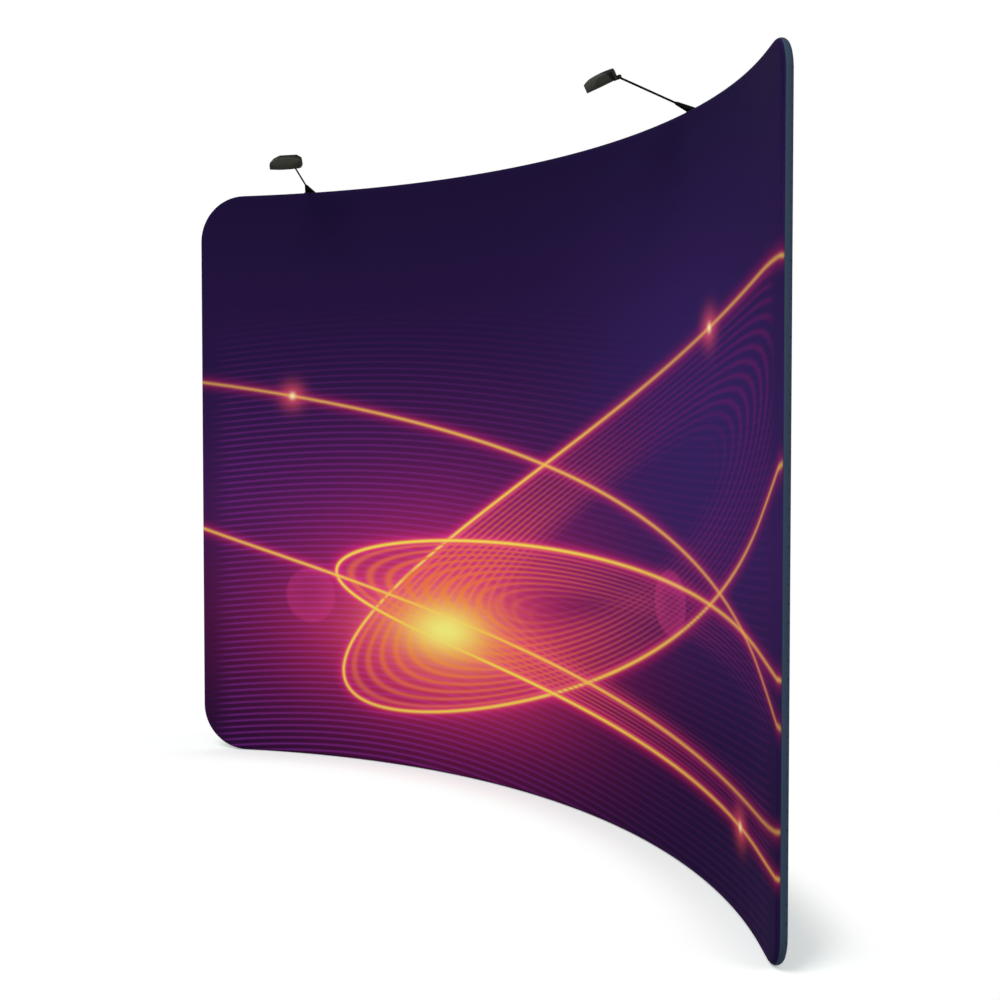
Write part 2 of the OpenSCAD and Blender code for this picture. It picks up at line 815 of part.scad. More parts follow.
// Inside the hood: two bars that carry the lamp board, the board's lamps and its driver
ear_t = 4;
bar_l = 6;
bar_h = 5;
bar_x = [hood_rear + 17, head_l - 24];
board_z = 11;
board_t = 1.6;
board_in = 26;
board_w = head_w - 2 * board_in;
lamp_size = [5, 5, 1.4];
driver_size = [6, 12, 5];
glass_in = 0.5;

module hood(angle, turn, tilt, twist) {
    ear_in = eye_w / 2 + free_gap;
    color([0.13, 0.13, 0.14]) at_head(angle, turn, tilt, twist) difference() {
        union() {
            difference() {
                hood_form(0);
                hood_form(hood_wall);
            }
            intersection() {
                hood_form(hood_wall / 2);
                for (x = bar_x) translate([x - bar_l / 2, -head_w / 2, board_z])
                    cube([bar_l, head_w, bar_h]);
            }
            for (m = [0, 1]) mirror([0, m, 0]) {
                translate([0, ear_in, 0]) rotate([-90, 0, 0]) cylinder(r = eye_r, h = ear_t);
                translate([0, ear_in, -eye_r + 1]) cube([hood_rear + hood_wall / 2, ear_t, 2 * eye_r - 2]);
            }
        }
        rotate([90, 0, 0]) cylinder(r = pin_d / 2 + run_gap, h = head_w / 2, center = true);
    }
}

module head_pin(angle, turn, tilt, twist) {
    grip = eye_w + 2 * free_gap + 2 * ear_t;
    color("silver") at_head(angle, turn, tilt, twist) rotate([90, 0, 0]) {
        cylinder(d = pin_d, h = grip + 2, center = true);
        for (m = [0, 1]) mirror([0, 0, m]) translate([0, 0, grip / 2 + seat_gap])
            cylinder(d = pin_d + 3.6, h = 2.4);
    }
}

module led_board(angle, turn, tilt, twist) {
    below = board_z - board_t - seat_gap / 2;
    span = bar_x[1] - bar_x[0];
    color("white") at_head(angle, turn, tilt, twist) {
        translate([bar_x[0] - bar_l / 2, -board_w / 2, below]) cube([span + bar_l, board_w, board_t]);
        for (i = [1:3], k = [-1:1])
            translate([bar_x[0] + i * span / 4, k * (board_w / 2 - 8), below + cut - lamp_size[2] / 2])
                cube(lamp_size, center = true);
        translate([bar_x[0], 0, below + cut - driver_size[2] / 2]) cube(driver_size, center = true);
    }
}

module lamp_glass(angle, turn, tilt, twist) {
    color([0.9, 0.93, 0.95, 0.5]) at_head(angle, turn, tilt, twist) intersection() {
        hood_form(hood_wall + seat_gap);
        translate([0, -head_w, rim_z + glass_in]) cube([head_l, 2 * head_w, glass_t]);
    }
}

// ---- Drawing ------------------------------------------------------------------------

module aluminium() { color([0.72, 0.73, 0.75]) children(); }

aluminium() rail(-1, high_z, -1);  // top_rail_left
aluminium() rail(0, high_z, -1);  // top_rail_centre
aluminium() rail(1, high_z, -1);  // top_rail_right
aluminium() rail(-1, low_z, 1);  // bottom_rail_left
aluminium() rail(0, low_z, 1);  // bottom_rail_centre
aluminium() rail(1, low_z, 1);  // bottom_rail_right
aluminium() elbow(-1, true);  // elbow_top_left
aluminium() elbow(1, true);  // elbow_top_right
aluminium() elbow(-1, false);  // elbow_bottom_left
aluminium() elbow(1, false);  // elbow_bottom_right
aluminium() upright(-1, false);  // upright_left_lower
aluminium() upright(-1, true);  // upright_left_upper
aluminium() upright(1, false);  // upright_right_lower
aluminium() upright(1, true);  // upright_right_upper
aluminium() post(-1, false);  // post_left_lower
aluminium() post(-1, true);  // post_left_upper
aluminium() post(1, false);  // post_right_lower
aluminium() post(1, true);  // post_right_upper
tube_spigots();
post_saddles();
rivet_nuts();
rail_button(-1, high_z, -1) snap_button(spigot_ir, tube_or);  // snap_top_left
rail_button(1, high_z, -1) snap_button(spigot_ir, tube_or);  // snap_top_right
rail_button(-1, low_z, 1) snap_button(spigot_ir, tube_or);  // snap_bottom_left
rail_button(1, low_z, 1) snap_button(spigot_ir, tube_or);  // snap_bottom_right
upright_button(-1) snap_button(spigot_ir, tube_or);  // snap_upright_left
upright_button(1) snap_button(spigot_ir, tube_or);  // snap_upright_right
post_button(-1) snap_button(post_spigot_ir, post_od / 2);  // snap_post_left
post_button(1) snap_button(post_spigot_ir, post_od / 2);  // snap_post_right
front_panel();
back_panel();
edge_band_long(true);  // edge_band_top
edge_band_long(false);  // edge_band_bottom
edge_band_side(-1);  // edge_band_left
edge_band_side(1);  // edge_band_right
zip_tape();
zip_coil();
zip_slider();
zip_pull();
bracket(left_angle);  // bracket_left
bracket(right_angle);  // bracket_right
thumbscrew(left_angle);  // thumbscrew_left
thumbscrew(right_angle);  // thumbscrew_right
swivel_bolts();
arm_base(left_angle, left_swivel);  // arm_base_left
arm_base(right_angle, right_swivel);  // arm_base_right
arm_rod(left_angle, left_swivel, left_twist);  // arm_rod_left
arm_rod(right_angle, right_swivel, right_twist);  // arm_rod_right
arm_lead(left_angle, left_swivel);  // arm_lead_left
arm_lead(right_angle, right_swivel);  // arm_lead_right
power_socket(left_angle, left_swivel);  // power_socket_left
power_socket(right_angle, right_swivel);  // power_socket_right
hood(left_angle, left_swivel, left_tilt, left_twist);  // hood_left
hood(right_angle, right_swivel, right_tilt, right_twist);  // hood_right
head_pin(left_angle, left_swivel, left_tilt, left_twist);  // head_pin_left
head_pin(right_angle, right_swivel, right_tilt, right_twist);  // head_pin_right
led_board(left_angle, left_swivel, left_tilt, left_twist);  // led_board_left
led_board(right_angle, right_swivel, right_tilt, right_twist);  // led_board_right
lamp_glass(left_angle, left_swivel, left_tilt, left_twist);  // lamp_glass_left
lamp_glass(right_angle, right_swivel, right_tilt, right_twist);  // lamp_glass_right
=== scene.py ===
"""Dresses the curved exhibition backwall: a printed stretch cover over a bent tube frame.

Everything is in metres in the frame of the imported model. The hollow, printed side faces -Y,
and the two arm spotlights stand on the top edge.
"""

from __future__ import annotations

import logging
import math
from collections.abc import Callable, Iterable, Iterator, Sequence
from contextlib import contextmanager
from dataclasses import dataclass
from enum import Enum
from itertools import accumulate

import bmesh
import bpy
from mathutils import Matrix, Vector

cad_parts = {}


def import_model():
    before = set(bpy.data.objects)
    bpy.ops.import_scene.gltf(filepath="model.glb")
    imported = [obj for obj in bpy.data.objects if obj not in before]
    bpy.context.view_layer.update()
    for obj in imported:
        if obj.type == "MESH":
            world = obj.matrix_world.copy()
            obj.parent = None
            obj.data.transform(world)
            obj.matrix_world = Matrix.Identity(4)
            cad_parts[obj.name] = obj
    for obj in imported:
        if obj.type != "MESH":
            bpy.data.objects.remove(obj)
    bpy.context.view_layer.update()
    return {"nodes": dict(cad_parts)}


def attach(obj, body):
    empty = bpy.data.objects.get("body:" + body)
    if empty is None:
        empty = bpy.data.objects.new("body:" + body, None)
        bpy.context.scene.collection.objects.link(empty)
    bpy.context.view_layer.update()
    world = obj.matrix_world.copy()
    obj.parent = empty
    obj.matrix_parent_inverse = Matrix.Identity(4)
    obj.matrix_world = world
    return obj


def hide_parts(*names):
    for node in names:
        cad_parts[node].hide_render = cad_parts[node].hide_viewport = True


LOG = logging.getLogger("backwall")
MM = 0.001
TURN = 2 * math.pi

Colour = tuple[float, float, float]
Place = tuple[float, float, float]
Nodes = dict[str, bpy.types.Object]


def ink(red: int, green: int, blue: int) -> Colour:
    """Turns a colour written as on a screen into the linear values that a shader takes.

    Args:
        red: Red, 0 to 255.
        green: Green, 0 to 255.
        blue: Blue, 0 to 255.

    Returns:
        The three linear values, 0 to 1.
    """

    def linear(part: int) -> float:
        """One channel, from screen value to linear."""
        value = part / 255
        return value / 12.92 if value <= 0.04045 else ((value + 0.055) / 1.055) ** 2.4

    return linear(red), linear(green), linear(blue)


def toned(colour: Colour, factor: float, lift: float = 0) -> Colour:
    """A colour times a factor, plus a lift, and at most white."""
    return tuple(min(1.0, part * factor + lift) for part in colour)


# ---- Work at the bench ------------------------------------------------------------------


def placed(name: str, data: bpy.types.ID) -> bpy.types.Object:
    """Sets an object in the scene.

    Args:
        name: Its name.
        data: Its mesh, lamp or camera.

    Returns:
        The object.
    """
    thing = bpy.data.objects.new(name, data)
    bpy.context.scene.collection.objects.link(thing)
    return thing


def aimed(name: str, data: bpy.types.ID, place: Place, ahead: Vector) -> bpy.types.Object:
    """Sets a lamp or a camera in the scene.

    Args:
        name: Its name.
        data: What it is.
        place: Its place.
        ahead: The direction that it looks in.

    Returns:
        The lamp or the camera.
    """
    thing = placed(name, data)
    thing.location = place
    thing.rotation_euler = ahead.to_track_quat("-Z", "Y").to_euler()
    return thing


def pick(piece: bpy.types.Object) -> None:
    """Leaves only this piece selected, and makes it the active one.

    Args:
        piece: The piece.
    """
    bpy.ops.object.select_all(action="DESELECT")
    piece.select_set(True)
    bpy.context.view_layer.objects.active = piece


@contextmanager
def editing(piece: bpy.types.Object, kind: str = "FACE") -> Iterator[None]:
    """Opens a piece in edit mode with nothing selected, and closes it again.

    Args:
        piece: The piece to edit.
        kind: What is selected in it: VERT, EDGE or FACE.

    Returns:
        Nothing, while the piece is open.
    """
    pick(piece)
    bpy.ops.object.mode_set(mode="EDIT")
    bpy.ops.mesh.select_mode(type=kind)
    bpy.ops.mesh.select_all(action="DESELECT")
    yield
    bpy.ops.object.mode_set(mode="OBJECT")


def choose(piece: bpy.types.Object, kind: str, test: Callable[[object], bool]) -> None:
    """Selects what passes a test in a piece that is open in edit mode.

    Args:
        piece: The open piece.
        kind: Which of its elements are tried: verts, edges or faces.
        test: Says whether an element is wanted, by its place or direction.
    """
    mesh = bmesh.from_edit_mesh(piece.data)
    for element in getattr(mesh, kind):
        element.select_set(bool(test(element)))
    mesh.select_flush_mode()
    bmesh.update_edit_mesh(piece.data)


def worked(piece: bpy.types.Object, kind: str, **settings: object) -> None:
    """Puts a modifier on a piece and applies it.

    Args:
        piece: The piece.
        kind: The modifier's type.
        **settings: The modifier's settings.
    """
    modifier = piece.modifiers.new(kind.title(), kind)
    for name, value in settings.items():
        setattr(modifier, name, value)
    pick(piece)
    bpy.ops.object.modifier_apply(modifier=modifier.name)


def smooth(piece: bpy.types.Object, angle: float = 40) -> None:
    """Shades a piece smooth, apart from edges sharper than the angle, in degrees."""
    pick(piece)
    bpy.ops.object.shade_smooth_by_angle(angle=math.radians(angle))


def named_active(name: str) -> bpy.types.Object:
    """Settles the primitive that was just added.

    Args:
        name: Its name.

    Returns:
        The primitive, with its place and size in its mesh.
    """
    piece = bpy.context.view_layer.objects.active
    piece.name = piece.data.name = name
    bpy.ops.object.transform_apply(location=True, rotation=True, scale=True)
    return piece


def laid(piece: bpy.types.Object, where: Callable[[Vector], Vector]) -> None:
    """Moves a piece's points one by one.

    Args:
        piece: The piece.
        where: Gives a point's new place for its old one.
    """
    for point in piece.data.vertices:
        point.co = where(point.co.copy())
    piece.data.update()


def marked(piece: bpy.types.Object, name: str, values: Iterable[Sequence[float]]) -> None:
    """Stores one vector for each point of a piece, for a pattern to follow."""
    layer = piece.data.attributes.new(name, "FLOAT_VECTOR", "POINT")
    layer.data.foreach_set("vector", [part for value in values for part in value])


def grid_faces(rows: int, columns: int) -> list[tuple[int, ...]]:
    """The faces of a grid of points that are numbered row by row, each as four numbers."""
    corners = (row * columns + column for row in range(rows - 1) for column in range(columns - 1))
    return [(corner, corner + 1, corner + columns + 1, corner + columns) for corner in corners]


def sewn(
    name: str,
    points: Sequence[Vector],
    faces: Sequence[Sequence[int]],
    thick: float,
    **marks: Sequence[Place],
) -> bpy.types.Object:
    """Makes a cloth piece from its outer side, and thickens it inwards.

    Args:
        name: The piece's name.
        points: Its points.
        faces: Its faces, each as its points' numbers, turning left seen from outside.
        thick: Its thickness.
        **marks: Vectors to store at its points, by name.

    Returns:
        The new piece.
    """
    mesh = bpy.data.meshes.new(name)
    mesh.from_pydata([tuple(point) for point in points], [], faces)
    mesh.update()
    piece = placed(name, mesh)
    for mark, values in marks.items():
        marked(piece, mark, values)
    worked(piece, "SOLIDIFY", thickness=thick, offset=-1, use_rim=True)
    smooth(piece)
    return piece


# ---- Shader graphs ----------------------------------------------------------------------


class Socket:
    """An output of a node. Sums on it add Math nodes to its graph."""

    def __init__(self, graph: Graph, end: bpy.types.NodeSocket | None) -> None:
        """Wraps an output of the graph."""
        self.graph = graph
        self.end = end

    def __add__(self, other: float | Socket) -> Socket:
        """This plus the other."""
        return self.graph.math("ADD", self, other)

    __radd__ = __add__

    def __sub__(self, other: float | Socket) -> Socket:
        """This less the other."""
        return self.graph.math("SUBTRACT", self, other)

    def __rsub__(self, other: float) -> Socket:
        """The other less this."""
        return self.graph.math("SUBTRACT", other, self)

    def __mul__(self, other: float | Socket) -> Socket:
        """This times the other."""
        return self.graph.math("MULTIPLY", self, other)

    __rmul__ = __mul__

    def __truediv__(self, other: float | Socket) -> Socket:
        """This over the other."""
        return self.graph.math("DIVIDE", self, other)

    def __rtruediv__(self, other: float) -> Socket:
        """The other over this."""
        return self.graph.math("DIVIDE", other, self)

    def __pow__(self, power: float) -> Socket:
        """This to a power."""
        return self.graph.math("POWER", self, power)

    def __lt__(self, other: float | Socket) -> Socket:
        """1 where this is less than the other, and 0 elsewhere."""
        return self.graph.math("LESS_THAN", self, other)

    def __gt__(self, other: float | Socket) -> Socket:
        """1 where this is more than the other, and 0 elsewhere."""
        return self.graph.math("GREATER_THAN", self, other)

    def __abs__(self) -> Socket:
        """This without its sign."""
        return self.graph.math("ABSOLUTE", self)

    def root(self) -> Socket:
        """Its square root."""
        return self.graph.math("SQRT", self)

    def sine(self) -> Socket:
        """The sine of it."""
        return self.graph.math("SINE", self)

    def wave(self, length: float) -> Socket:
        """A sine wave of this length along it."""
        return (self * (TURN / length)).sine()

    def part(self) -> Socket:
        """What is left of it past the whole number below."""
        return self.graph.math("FRACT", self)

    def bell(self, width: float) -> Socket:
        """1 at nothing, falling off on both sides over the width."""
        scaled = self * (1 / width)
        return 1 / (scaled * scaled + 1)

    def halo(self, width: float) -> Socket:
        """1 at nothing, falling off softly and fully over about twice the width."""
        return self.graph.math("EXPONENT", self * self * (-1 / (width * width)))

    def ease(self, start: float, end: float) -> Socket:
        """Rises smoothly from 0 at the start to 1 at the end."""
        settings = {"interpolation_type": "SMOOTHSTEP"}
        return self.graph.add("ShaderNodeMapRange", settings, {0: self, 1: start, 2: end})


class Graph:
    """The nodes of one material or of the world."""

    def __init__(self, owner: bpy.types.Material | bpy.types.World) -> None:
        """Clears the owner's nodes to start from nothing.

        Args:
            owner: The material or the world.
        """
        owner.use_nodes = True
        self.tree = owner.node_tree
        self.tree.nodes.clear()

    def add(
        self,
        kind: str,
        settings: dict[str, object] | None = None,
        inputs: dict[int | str, object] | None = None,
        out: int | str = 0,
    ) -> Socket:
        """Adds a node: first its settings, then the values and links of its inputs.

        Args:
            kind: The node's type.
            settings: Its settings. "stops" gives a ramp's places and colours.
            inputs: Its inputs by name or number, each a value or another node's output.
            out: The output that is wanted.

        Returns:
            That output.
        """
        node = self.tree.nodes.new(kind)
        for name, value in (settings or {}).items():
            if name == "stops":
                self._set_stops(node.color_ramp, value)
            else:
                setattr(node, name, value)
        for name, value in (inputs or {}).items():
            if isinstance(value, Socket):
                self.tree.links.new(value.end, node.inputs[name])
            elif isinstance(value, tuple) and len(value) == 3 and node.inputs[name].type == "RGBA":
                node.inputs[name].default_value = (*value, 1)
            else:
                node.inputs[name].default_value = value
        return Socket(self, node.outputs[out] if node.outputs else None)

    @staticmethod
    def _set_stops(ramp: bpy.types.ColorRamp, stops: Sequence[tuple[float, Colour]]) -> None:
        """Sets a ramp's stops.

        Args:
            ramp: The ramp.
            stops: Its stops, each a place and a colour.
        """
        while len(ramp.elements) < len(stops):
            ramp.elements.new(0.5)
        for element, (place, colour) in zip(ramp.elements, stops):
            element.position = place
            element.color = (*colour, 1)

    def math(self, operation: str, *values: float | Socket) -> Socket:
        """Adds a Math node."""
        return self.add("ShaderNodeMath", {"operation": operation}, dict(enumerate(values)))

    def object_place(self) -> Socket:
        """The place on the piece, in metres."""
        return self.add("ShaderNodeTexCoord", out="Object")

    def stored(self, name: str) -> Socket:
        """A vector that was stored on the piece's points."""
        return self.add("ShaderNodeAttribute", {"attribute_name": name}, out="Vector")

    def parts(self, vector: Socket) -> list[Socket]:
        """The three numbers of a vector."""
        node = self.add("ShaderNodeSeparateXYZ", inputs={0: vector}).end.node
        return [Socket(self, end) for end in node.outputs]

    def away(self, vector: Socket, point: Place) -> Socket:
        """The distance between a vector and a fixed point."""
        return self.add("ShaderNodeVectorMath", {"operation": "DISTANCE"}, {0: vector, 1: point}, "Value")

    def scaled(self, vector: Socket, factors: Place) -> Socket:
        """A vector, times one factor along each axis."""
        return self.add("ShaderNodeVectorMath", {"operation": "MULTIPLY"}, {0: vector, 1: factors})

    def blend(
        self, amount: float | Socket, under: Colour | Socket, over: Colour | Socket, mode: str = "MIX"
    ) -> Socket:
        """Mixes an amount of one colour over another."""
        settings = {"data_type": "RGBA", "blend_type": mode, "clamp_result": True}
        return self.add("ShaderNodeMix", settings, {0: amount, 6: under, 7: over}, 2)

    def noise(self, vector: Socket, scale: float, detail: float = 2, roughness: float = 0.5) -> Socket:
        """Cloudy noise about 0.5, with features about 1 / scale metres across."""
        values = {"Vector": vector, "Scale": scale, "Detail": detail, "Roughness": roughness}
        return self.add("ShaderNodeTexNoise", {"noise_dimensions": "3D"}, values)

    def raised(self, height: Socket, depth: float, strength: float) -> Socket:
        """The normal of a relief: its height is 0 to 1, and 1 is so deep in metres."""
        values = {"Strength": strength, "Distance": depth, "Height": height}
        return self.add("ShaderNodeBump", inputs=values)

    def mixed(self, amount: Socket, first: Socket, second: Socket) -> Socket:
        """Mixes two shaders."""
        return self.add("ShaderNodeMixShader", inputs={0: amount, 1: first, 2: second})

    def close(self, **inputs: object) -> None:
        """Ends a material in one Principled shader, whose inputs are given by name."""
        values = {name.replace("_", " "): value for name, value in inputs.items()}
        self.end(self.add("ShaderNodeBsdfPrincipled", inputs=values))

    def end(self, shader: Socket, owner: str = "Material") -> None:
        """Ends a material, or the world, in a shader."""
        self.add(f"ShaderNodeOutput{owner}", inputs={"Surface": shader})


# ---- Finishes ---------------------------------------------------------------------------


@dataclass(frozen=True)
class Finish:
    """A finish of the backwall, named for its material."""

    name: str

    def dress(self, piece: bpy.types.Object) -> None:
        """Gives this finish to a piece or a node as its one material.

        Args:
            piece: The piece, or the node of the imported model.
        """
        material = bpy.data.materials.get(self.name)
        if material is None:
            material = bpy.data.materials.new(self.name)
            self.paint(Graph(material))
        piece.data.materials.clear()
        piece.data.materials.append(material)

    def paint(self, graph: Graph) -> None:
        """Builds the material's nodes in an empty graph."""
        raise NotImplementedError


@dataclass(frozen=True)
class Moulded(Finish):
    """Moulded plastic or rubber with a fine grain and slightly uneven gloss."""

    colour: Colour
    roughness: float = 0.5
    grain: float = 0.6 * MM
    depth: float = 0.04 * MM
    scuff: float = 0.12
    specular: float = 0.4

    def paint(self, graph: Graph) -> None:
        """Builds the grain, the gloss and a few scuffs.

        Args:
            graph: The material's graph.
        """
        place = graph.object_place()
        cloud = graph.noise(place, 60, 3)
        fine = graph.noise(place, 1 / self.grain, 1)
        worn = graph.noise(place, 240, 4, 0.7).ease(0.62, 0.78)
        body = graph.blend(cloud * 0.3, self.colour, toned(self.colour, 0.7))
        graph.close(
            Base_Color=graph.blend(worn * self.scuff, body, toned(self.colour, 1.8, 0.02)),
            Roughness=cloud * 0.16 + (self.roughness - 0.08),
            Specular_IOR_Level=self.specular,
            Normal=graph.raised(fine, self.depth, 0.6),
        )


@dataclass(frozen=True)
class PowderCoat(Finish):
    """Satin powder coat with its faint orange peel and rubbed edges."""

    colour: Colour
    roughness: float = 0.42

    def paint(self, graph: Graph) -> None:
        """Builds the orange peel and the rub marks.

        Args:
            graph: The material's graph.
        """
        place = graph.object_place()
        cloud = graph.noise(place, 35, 3)
        rub = graph.noise(place, 180, 5, 0.75).ease(0.64, 0.8)
        graph.close(
            Base_Color=graph.blend(rub * 0.2, self.colour, toned(self.colour, 2, 0.02)),
            Roughness=cloud * 0.14 + (self.roughness - 0.05),
            Specular_IOR_Level=0.03,
            Normal=graph.raised(graph.noise(place, 900, 2), 0.05 * MM, 0.5),
        )


@dataclass(frozen=True)
class Metal(Finish):
    """Bare or plated metal with fine drawing marks and cloudy gloss."""

    colour: Colour
    roughness: float = 0.35
    marks: Place = (900, 900, 60)

    def paint(self, graph: Graph) -> None:
        """Builds the drawing marks and the clouds in the gloss.

        Args:
            graph: The material's graph.
        """
        place = graph.object_place()
        streak = graph.noise(graph.scaled(place, self.marks), 1, 2)
        cloud = graph.noise(place, 22, 3)
        graph.close(
            Base_Color=graph.blend(cloud * 0.5, self.colour, toned(self.colour, 0.72)),
            Metallic=1.0,
            Roughness=streak * 0.16 + cloud * 0.1 + (self.roughness - 0.12),
            Normal=graph.raised(streak, 0.02 * MM, 0.4),
        )


@dataclass(frozen=True)
class Hood(Finish):
    """The lamp hood's plastic: plain at the front, with rows of pips on its rear half."""

    front: Colour = ink(50, 51, 45)
    rear: Colour = ink(17, 18, 16)
    pips: Colour = ink(44, 46, 41)
    cloud: Colour = ink(22, 23, 20)
    pitch: float = 5.2 * MM
    split: tuple[float, float] = (44 * MM, 52 * MM)
    lean: float = 0.35

    def paint(self, graph: Graph) -> None:
        """Builds the pips and the two tones, in the head's own frame.

        Args:
            graph: The material's graph.
        """
        own = graph.stored("own")
        along, across, up = graph.parts(own)
        behind = 1 - (along - up * self.lean).ease(*self.split)
        row = along * (1 / self.pitch)
        shift = ((row * 0.5).part() > 0.5) * 0.5
        in_row = row.part() - 0.5
        in_line = (across * (1 / self.pitch) + shift).part() - 0.5
        pip = 1 - (in_row * in_row + in_line * in_line).root().ease(0.2, 0.34)
        pip = pip * behind * up.ease(2 * MM, 6 * MM)
        tone = graph.noise(own, 55, 3)
        body = graph.blend(behind, self.front, self.rear)
        body = graph.blend(pip * 0.5, body, self.pips)
        graph.close(
            Base_Color=graph.blend(tone * 0.3, body, self.cloud),
            Roughness=tone * 0.14 + behind * 0.1 + 0.44,
            Specular_IOR_Level=0.02,
            Normal=graph.raised(pip * 0.8 + graph.noise(own, 1500, 1) * 0.08, 0.7 * MM, 0.8),
        )


@dataclass(frozen=True)
class Board(Finish):
    """The lamp board: white, with yellow phosphor on its lamps and a dark driver."""

    lamps: tuple[Place, ...]
    driver_x: float
    driver_l: float = 6.1 * MM
    driver_w: float = 12.1 * MM
    phosphor: tuple[float, float] = (2.1 * MM, 1.8 * MM)

    def paint(self, graph: Graph) -> None:
        """Paints the lamps and the driver by their places in the head's own frame.

        Args:
            graph: The material's graph.
        """
        own = graph.stored("own")
        along, across, _ = graph.parts(own)
        flat = graph.scaled(own, (1, 1, 0))
        lit = sum(graph.away(flat, lamp).ease(*self.phosphor) for lamp in self.lamps)
        dark = (abs(along - self.driver_x) < self.driver_l / 2) * (abs(across) < self.driver_w / 2)
        cloud = graph.noise(own, 300, 2)
        white = graph.blend(cloud * 0.3, (0.8, 0.81, 0.78), (0.7, 0.71, 0.68))
        body = graph.blend(lit, white, ink(250, 214, 90))
        graph.close(
            Base_Color=graph.blend(dark, body, (0.03, 0.03, 0.032)),
            Roughness=cloud * 0.2 + 0.28,
            Normal=graph.raised(cloud, 0.03 * MM, 0.5),
        )


@dataclass(frozen=True)
class Glass(Finish):
    """Clear glass over the lamps: gloss by angle over what lies behind."""

    def paint(self, graph: Graph) -> None:
        """Mixes a clear shader with a glossy one, with faint smears.

        Args:
            graph: The material's graph.
        """
        smear = graph.noise(graph.object_place(), 70, 3)
        clear = graph.add("ShaderNodeBsdfTransparent", inputs={0: (0.9, 0.93, 0.92)})
        look = {"Base Color": (0.8, 0.83, 0.83), "Roughness": smear * 0.08 + 0.03}
        gloss = graph.add("ShaderNodeBsdfPrincipled", inputs=look)
        edge = graph.add("ShaderNodeFresnel", inputs={"IOR": 1.5})
        graph.end(graph.mixed(edge * 0.8 + 0.08, clear, gloss))


@dataclass(frozen=True)
class Knit(Finish):
    """Stretch knit in one colour, with its hems stitched along the frame's edge.

    The seams are places round the tube. The overlock's ticks, if any, stand so far apart along
    the band and reach over a stretch of it.
    """

    colour: Colour
    seams: tuple[float, ...] = ()
    tick: float = 0.0
    tick_over: tuple[float, float] = (0.0, 0.0)
    tick_w: float = 4 * MM
    tick_end: float = 0.6 * MM
    course: float = 1.2 * MM
    stitch: float = 4.5 * MM
    stitch_off: float = 3.2 * MM
    groove_w: float = 0.9 * MM
    pucker_l: float = 23 * MM
    pucker_w: float = 4 * MM

    def loops(self, first: Socket, second: Socket) -> Socket:
        """The height of the knit's loops, 0 to 1, by the places across and along its courses."""
        lean = second * (TURN * 1.3 / self.course) + abs(first).wave(2 * self.course) * 1.4
        return first.wave(self.course) * lean.sine() * 0.5 + 0.5

    def hem(self, graph: Graph) -> tuple[Socket, Socket, Socket]:
        """The seams of the hem, with the overlock's ticks along the rear one.

        Args:
            graph: The material's graph.

        Returns:
            How much each point is in a groove, on a stitch and in a pucker, each 0 to 1.
        """
        run, over, _ = graph.parts(graph.stored("hem"))
        offs = [over - seam for seam in self.seams]
        dash = (run * (1 / self.stitch)).part() < 0.62
        gather = run.wave(self.pucker_l) * 0.5 + 0.5
        groove = sum(off.bell(self.groove_w) for off in offs)
        thread = sum(abs(abs(off) - self.stitch_off).ease(0.6 * MM, 0.3 * MM) for off in offs) * dash
        pucker = sum(off.bell(self.pucker_w) for off in offs) * gather * gather
        if self.tick:
            start, end = self.tick_over
            near = over.ease(start, start + self.tick_end) * over.ease(end, end - self.tick_end)
            middle = abs((run * (1 / self.tick)).part() - 0.5) < self.tick_w / 2 / self.tick
            # the ticks' dents join the grooves, and take their painted shade
            groove = middle * near * 1.2 + groove
        return groove, thread, pucker

    def cloth_colour(self, graph: Graph, place: Socket) -> Socket:
        """The cloth's colour before its hems, at a place on the flat pattern."""
        cloud = graph.noise(place, 9, 3)
        return graph.blend(cloud * 0.4, self.colour, toned(self.colour, 0.8))

    def paint(self, graph: Graph) -> None:
        """Builds the cloth's colour, loops and hems, with painted shade darkening the hems' grooves.

        Args:
            graph: The material's graph.
        """
        place = graph.stored("pattern")
        first, middle, last = graph.parts(place)
        height = self.loops(first, middle + last) * 0.25
        colour = self.cloth_colour(graph, place)
        if self.seams:
            groove, thread, pucker = self.hem(graph)
            # painted shade: the seams' grooves and the overlock ticks' dents are darkened
            colour = graph.blend(groove * 0.7, colour, toned(self.colour, 0.5))
            colour = graph.blend(thread * 0.55, colour, toned(self.colour, 1.5, 0.012))
            height = height + thread * 0.9 - groove * 1.6 + pucker * 0.9
        graph.close(
            Base_Color=colour,
            Roughness=graph.noise(place, 14, 2) * 0.12 + 0.76,
            Specular_IOR_Level=0.02,
            Normal=graph.raised(height, 0.3 * MM, 0.5),
        )


@dataclass(frozen=True)
class Orbit:
    """A bright line of the print: an ellipse with fine lines inside it.

    Its middle, half lengths and lean are on the flat pattern, in metres and radians. The lines
    number so many from the middle to the edge, and start at a share of the way.
    """

    east: float
    north: float
    long: float
    short: float
    lean: float
    lines: int = 0
    start: float = 0.0
    light: float = 1.0

    def measured(self, place: Sequence[Socket]) -> tuple[Socket, Socket]:
        """Measures from the orbit.

        Args:
            place: The three numbers of the place on the flat pattern.

        Returns:
            The share of the way from its middle to its edge, and the distance from the edge.
        """
        side, up = place[0] - self.east, place[2] - self.north
        turn_in, turn_up = math.cos(self.lean), math.sin(self.lean)
        along = side * (turn_in / self.long) + up * (turn_up / self.long)
        across = up * (turn_in / self.short) - side * (turn_up / self.short)
        share = (along * along + across * across).root()
        slope = (along * along * self.long**-2 + across * across * self.short**-2).root()
        return share, (share - 1) * share / (slope + 0.05)


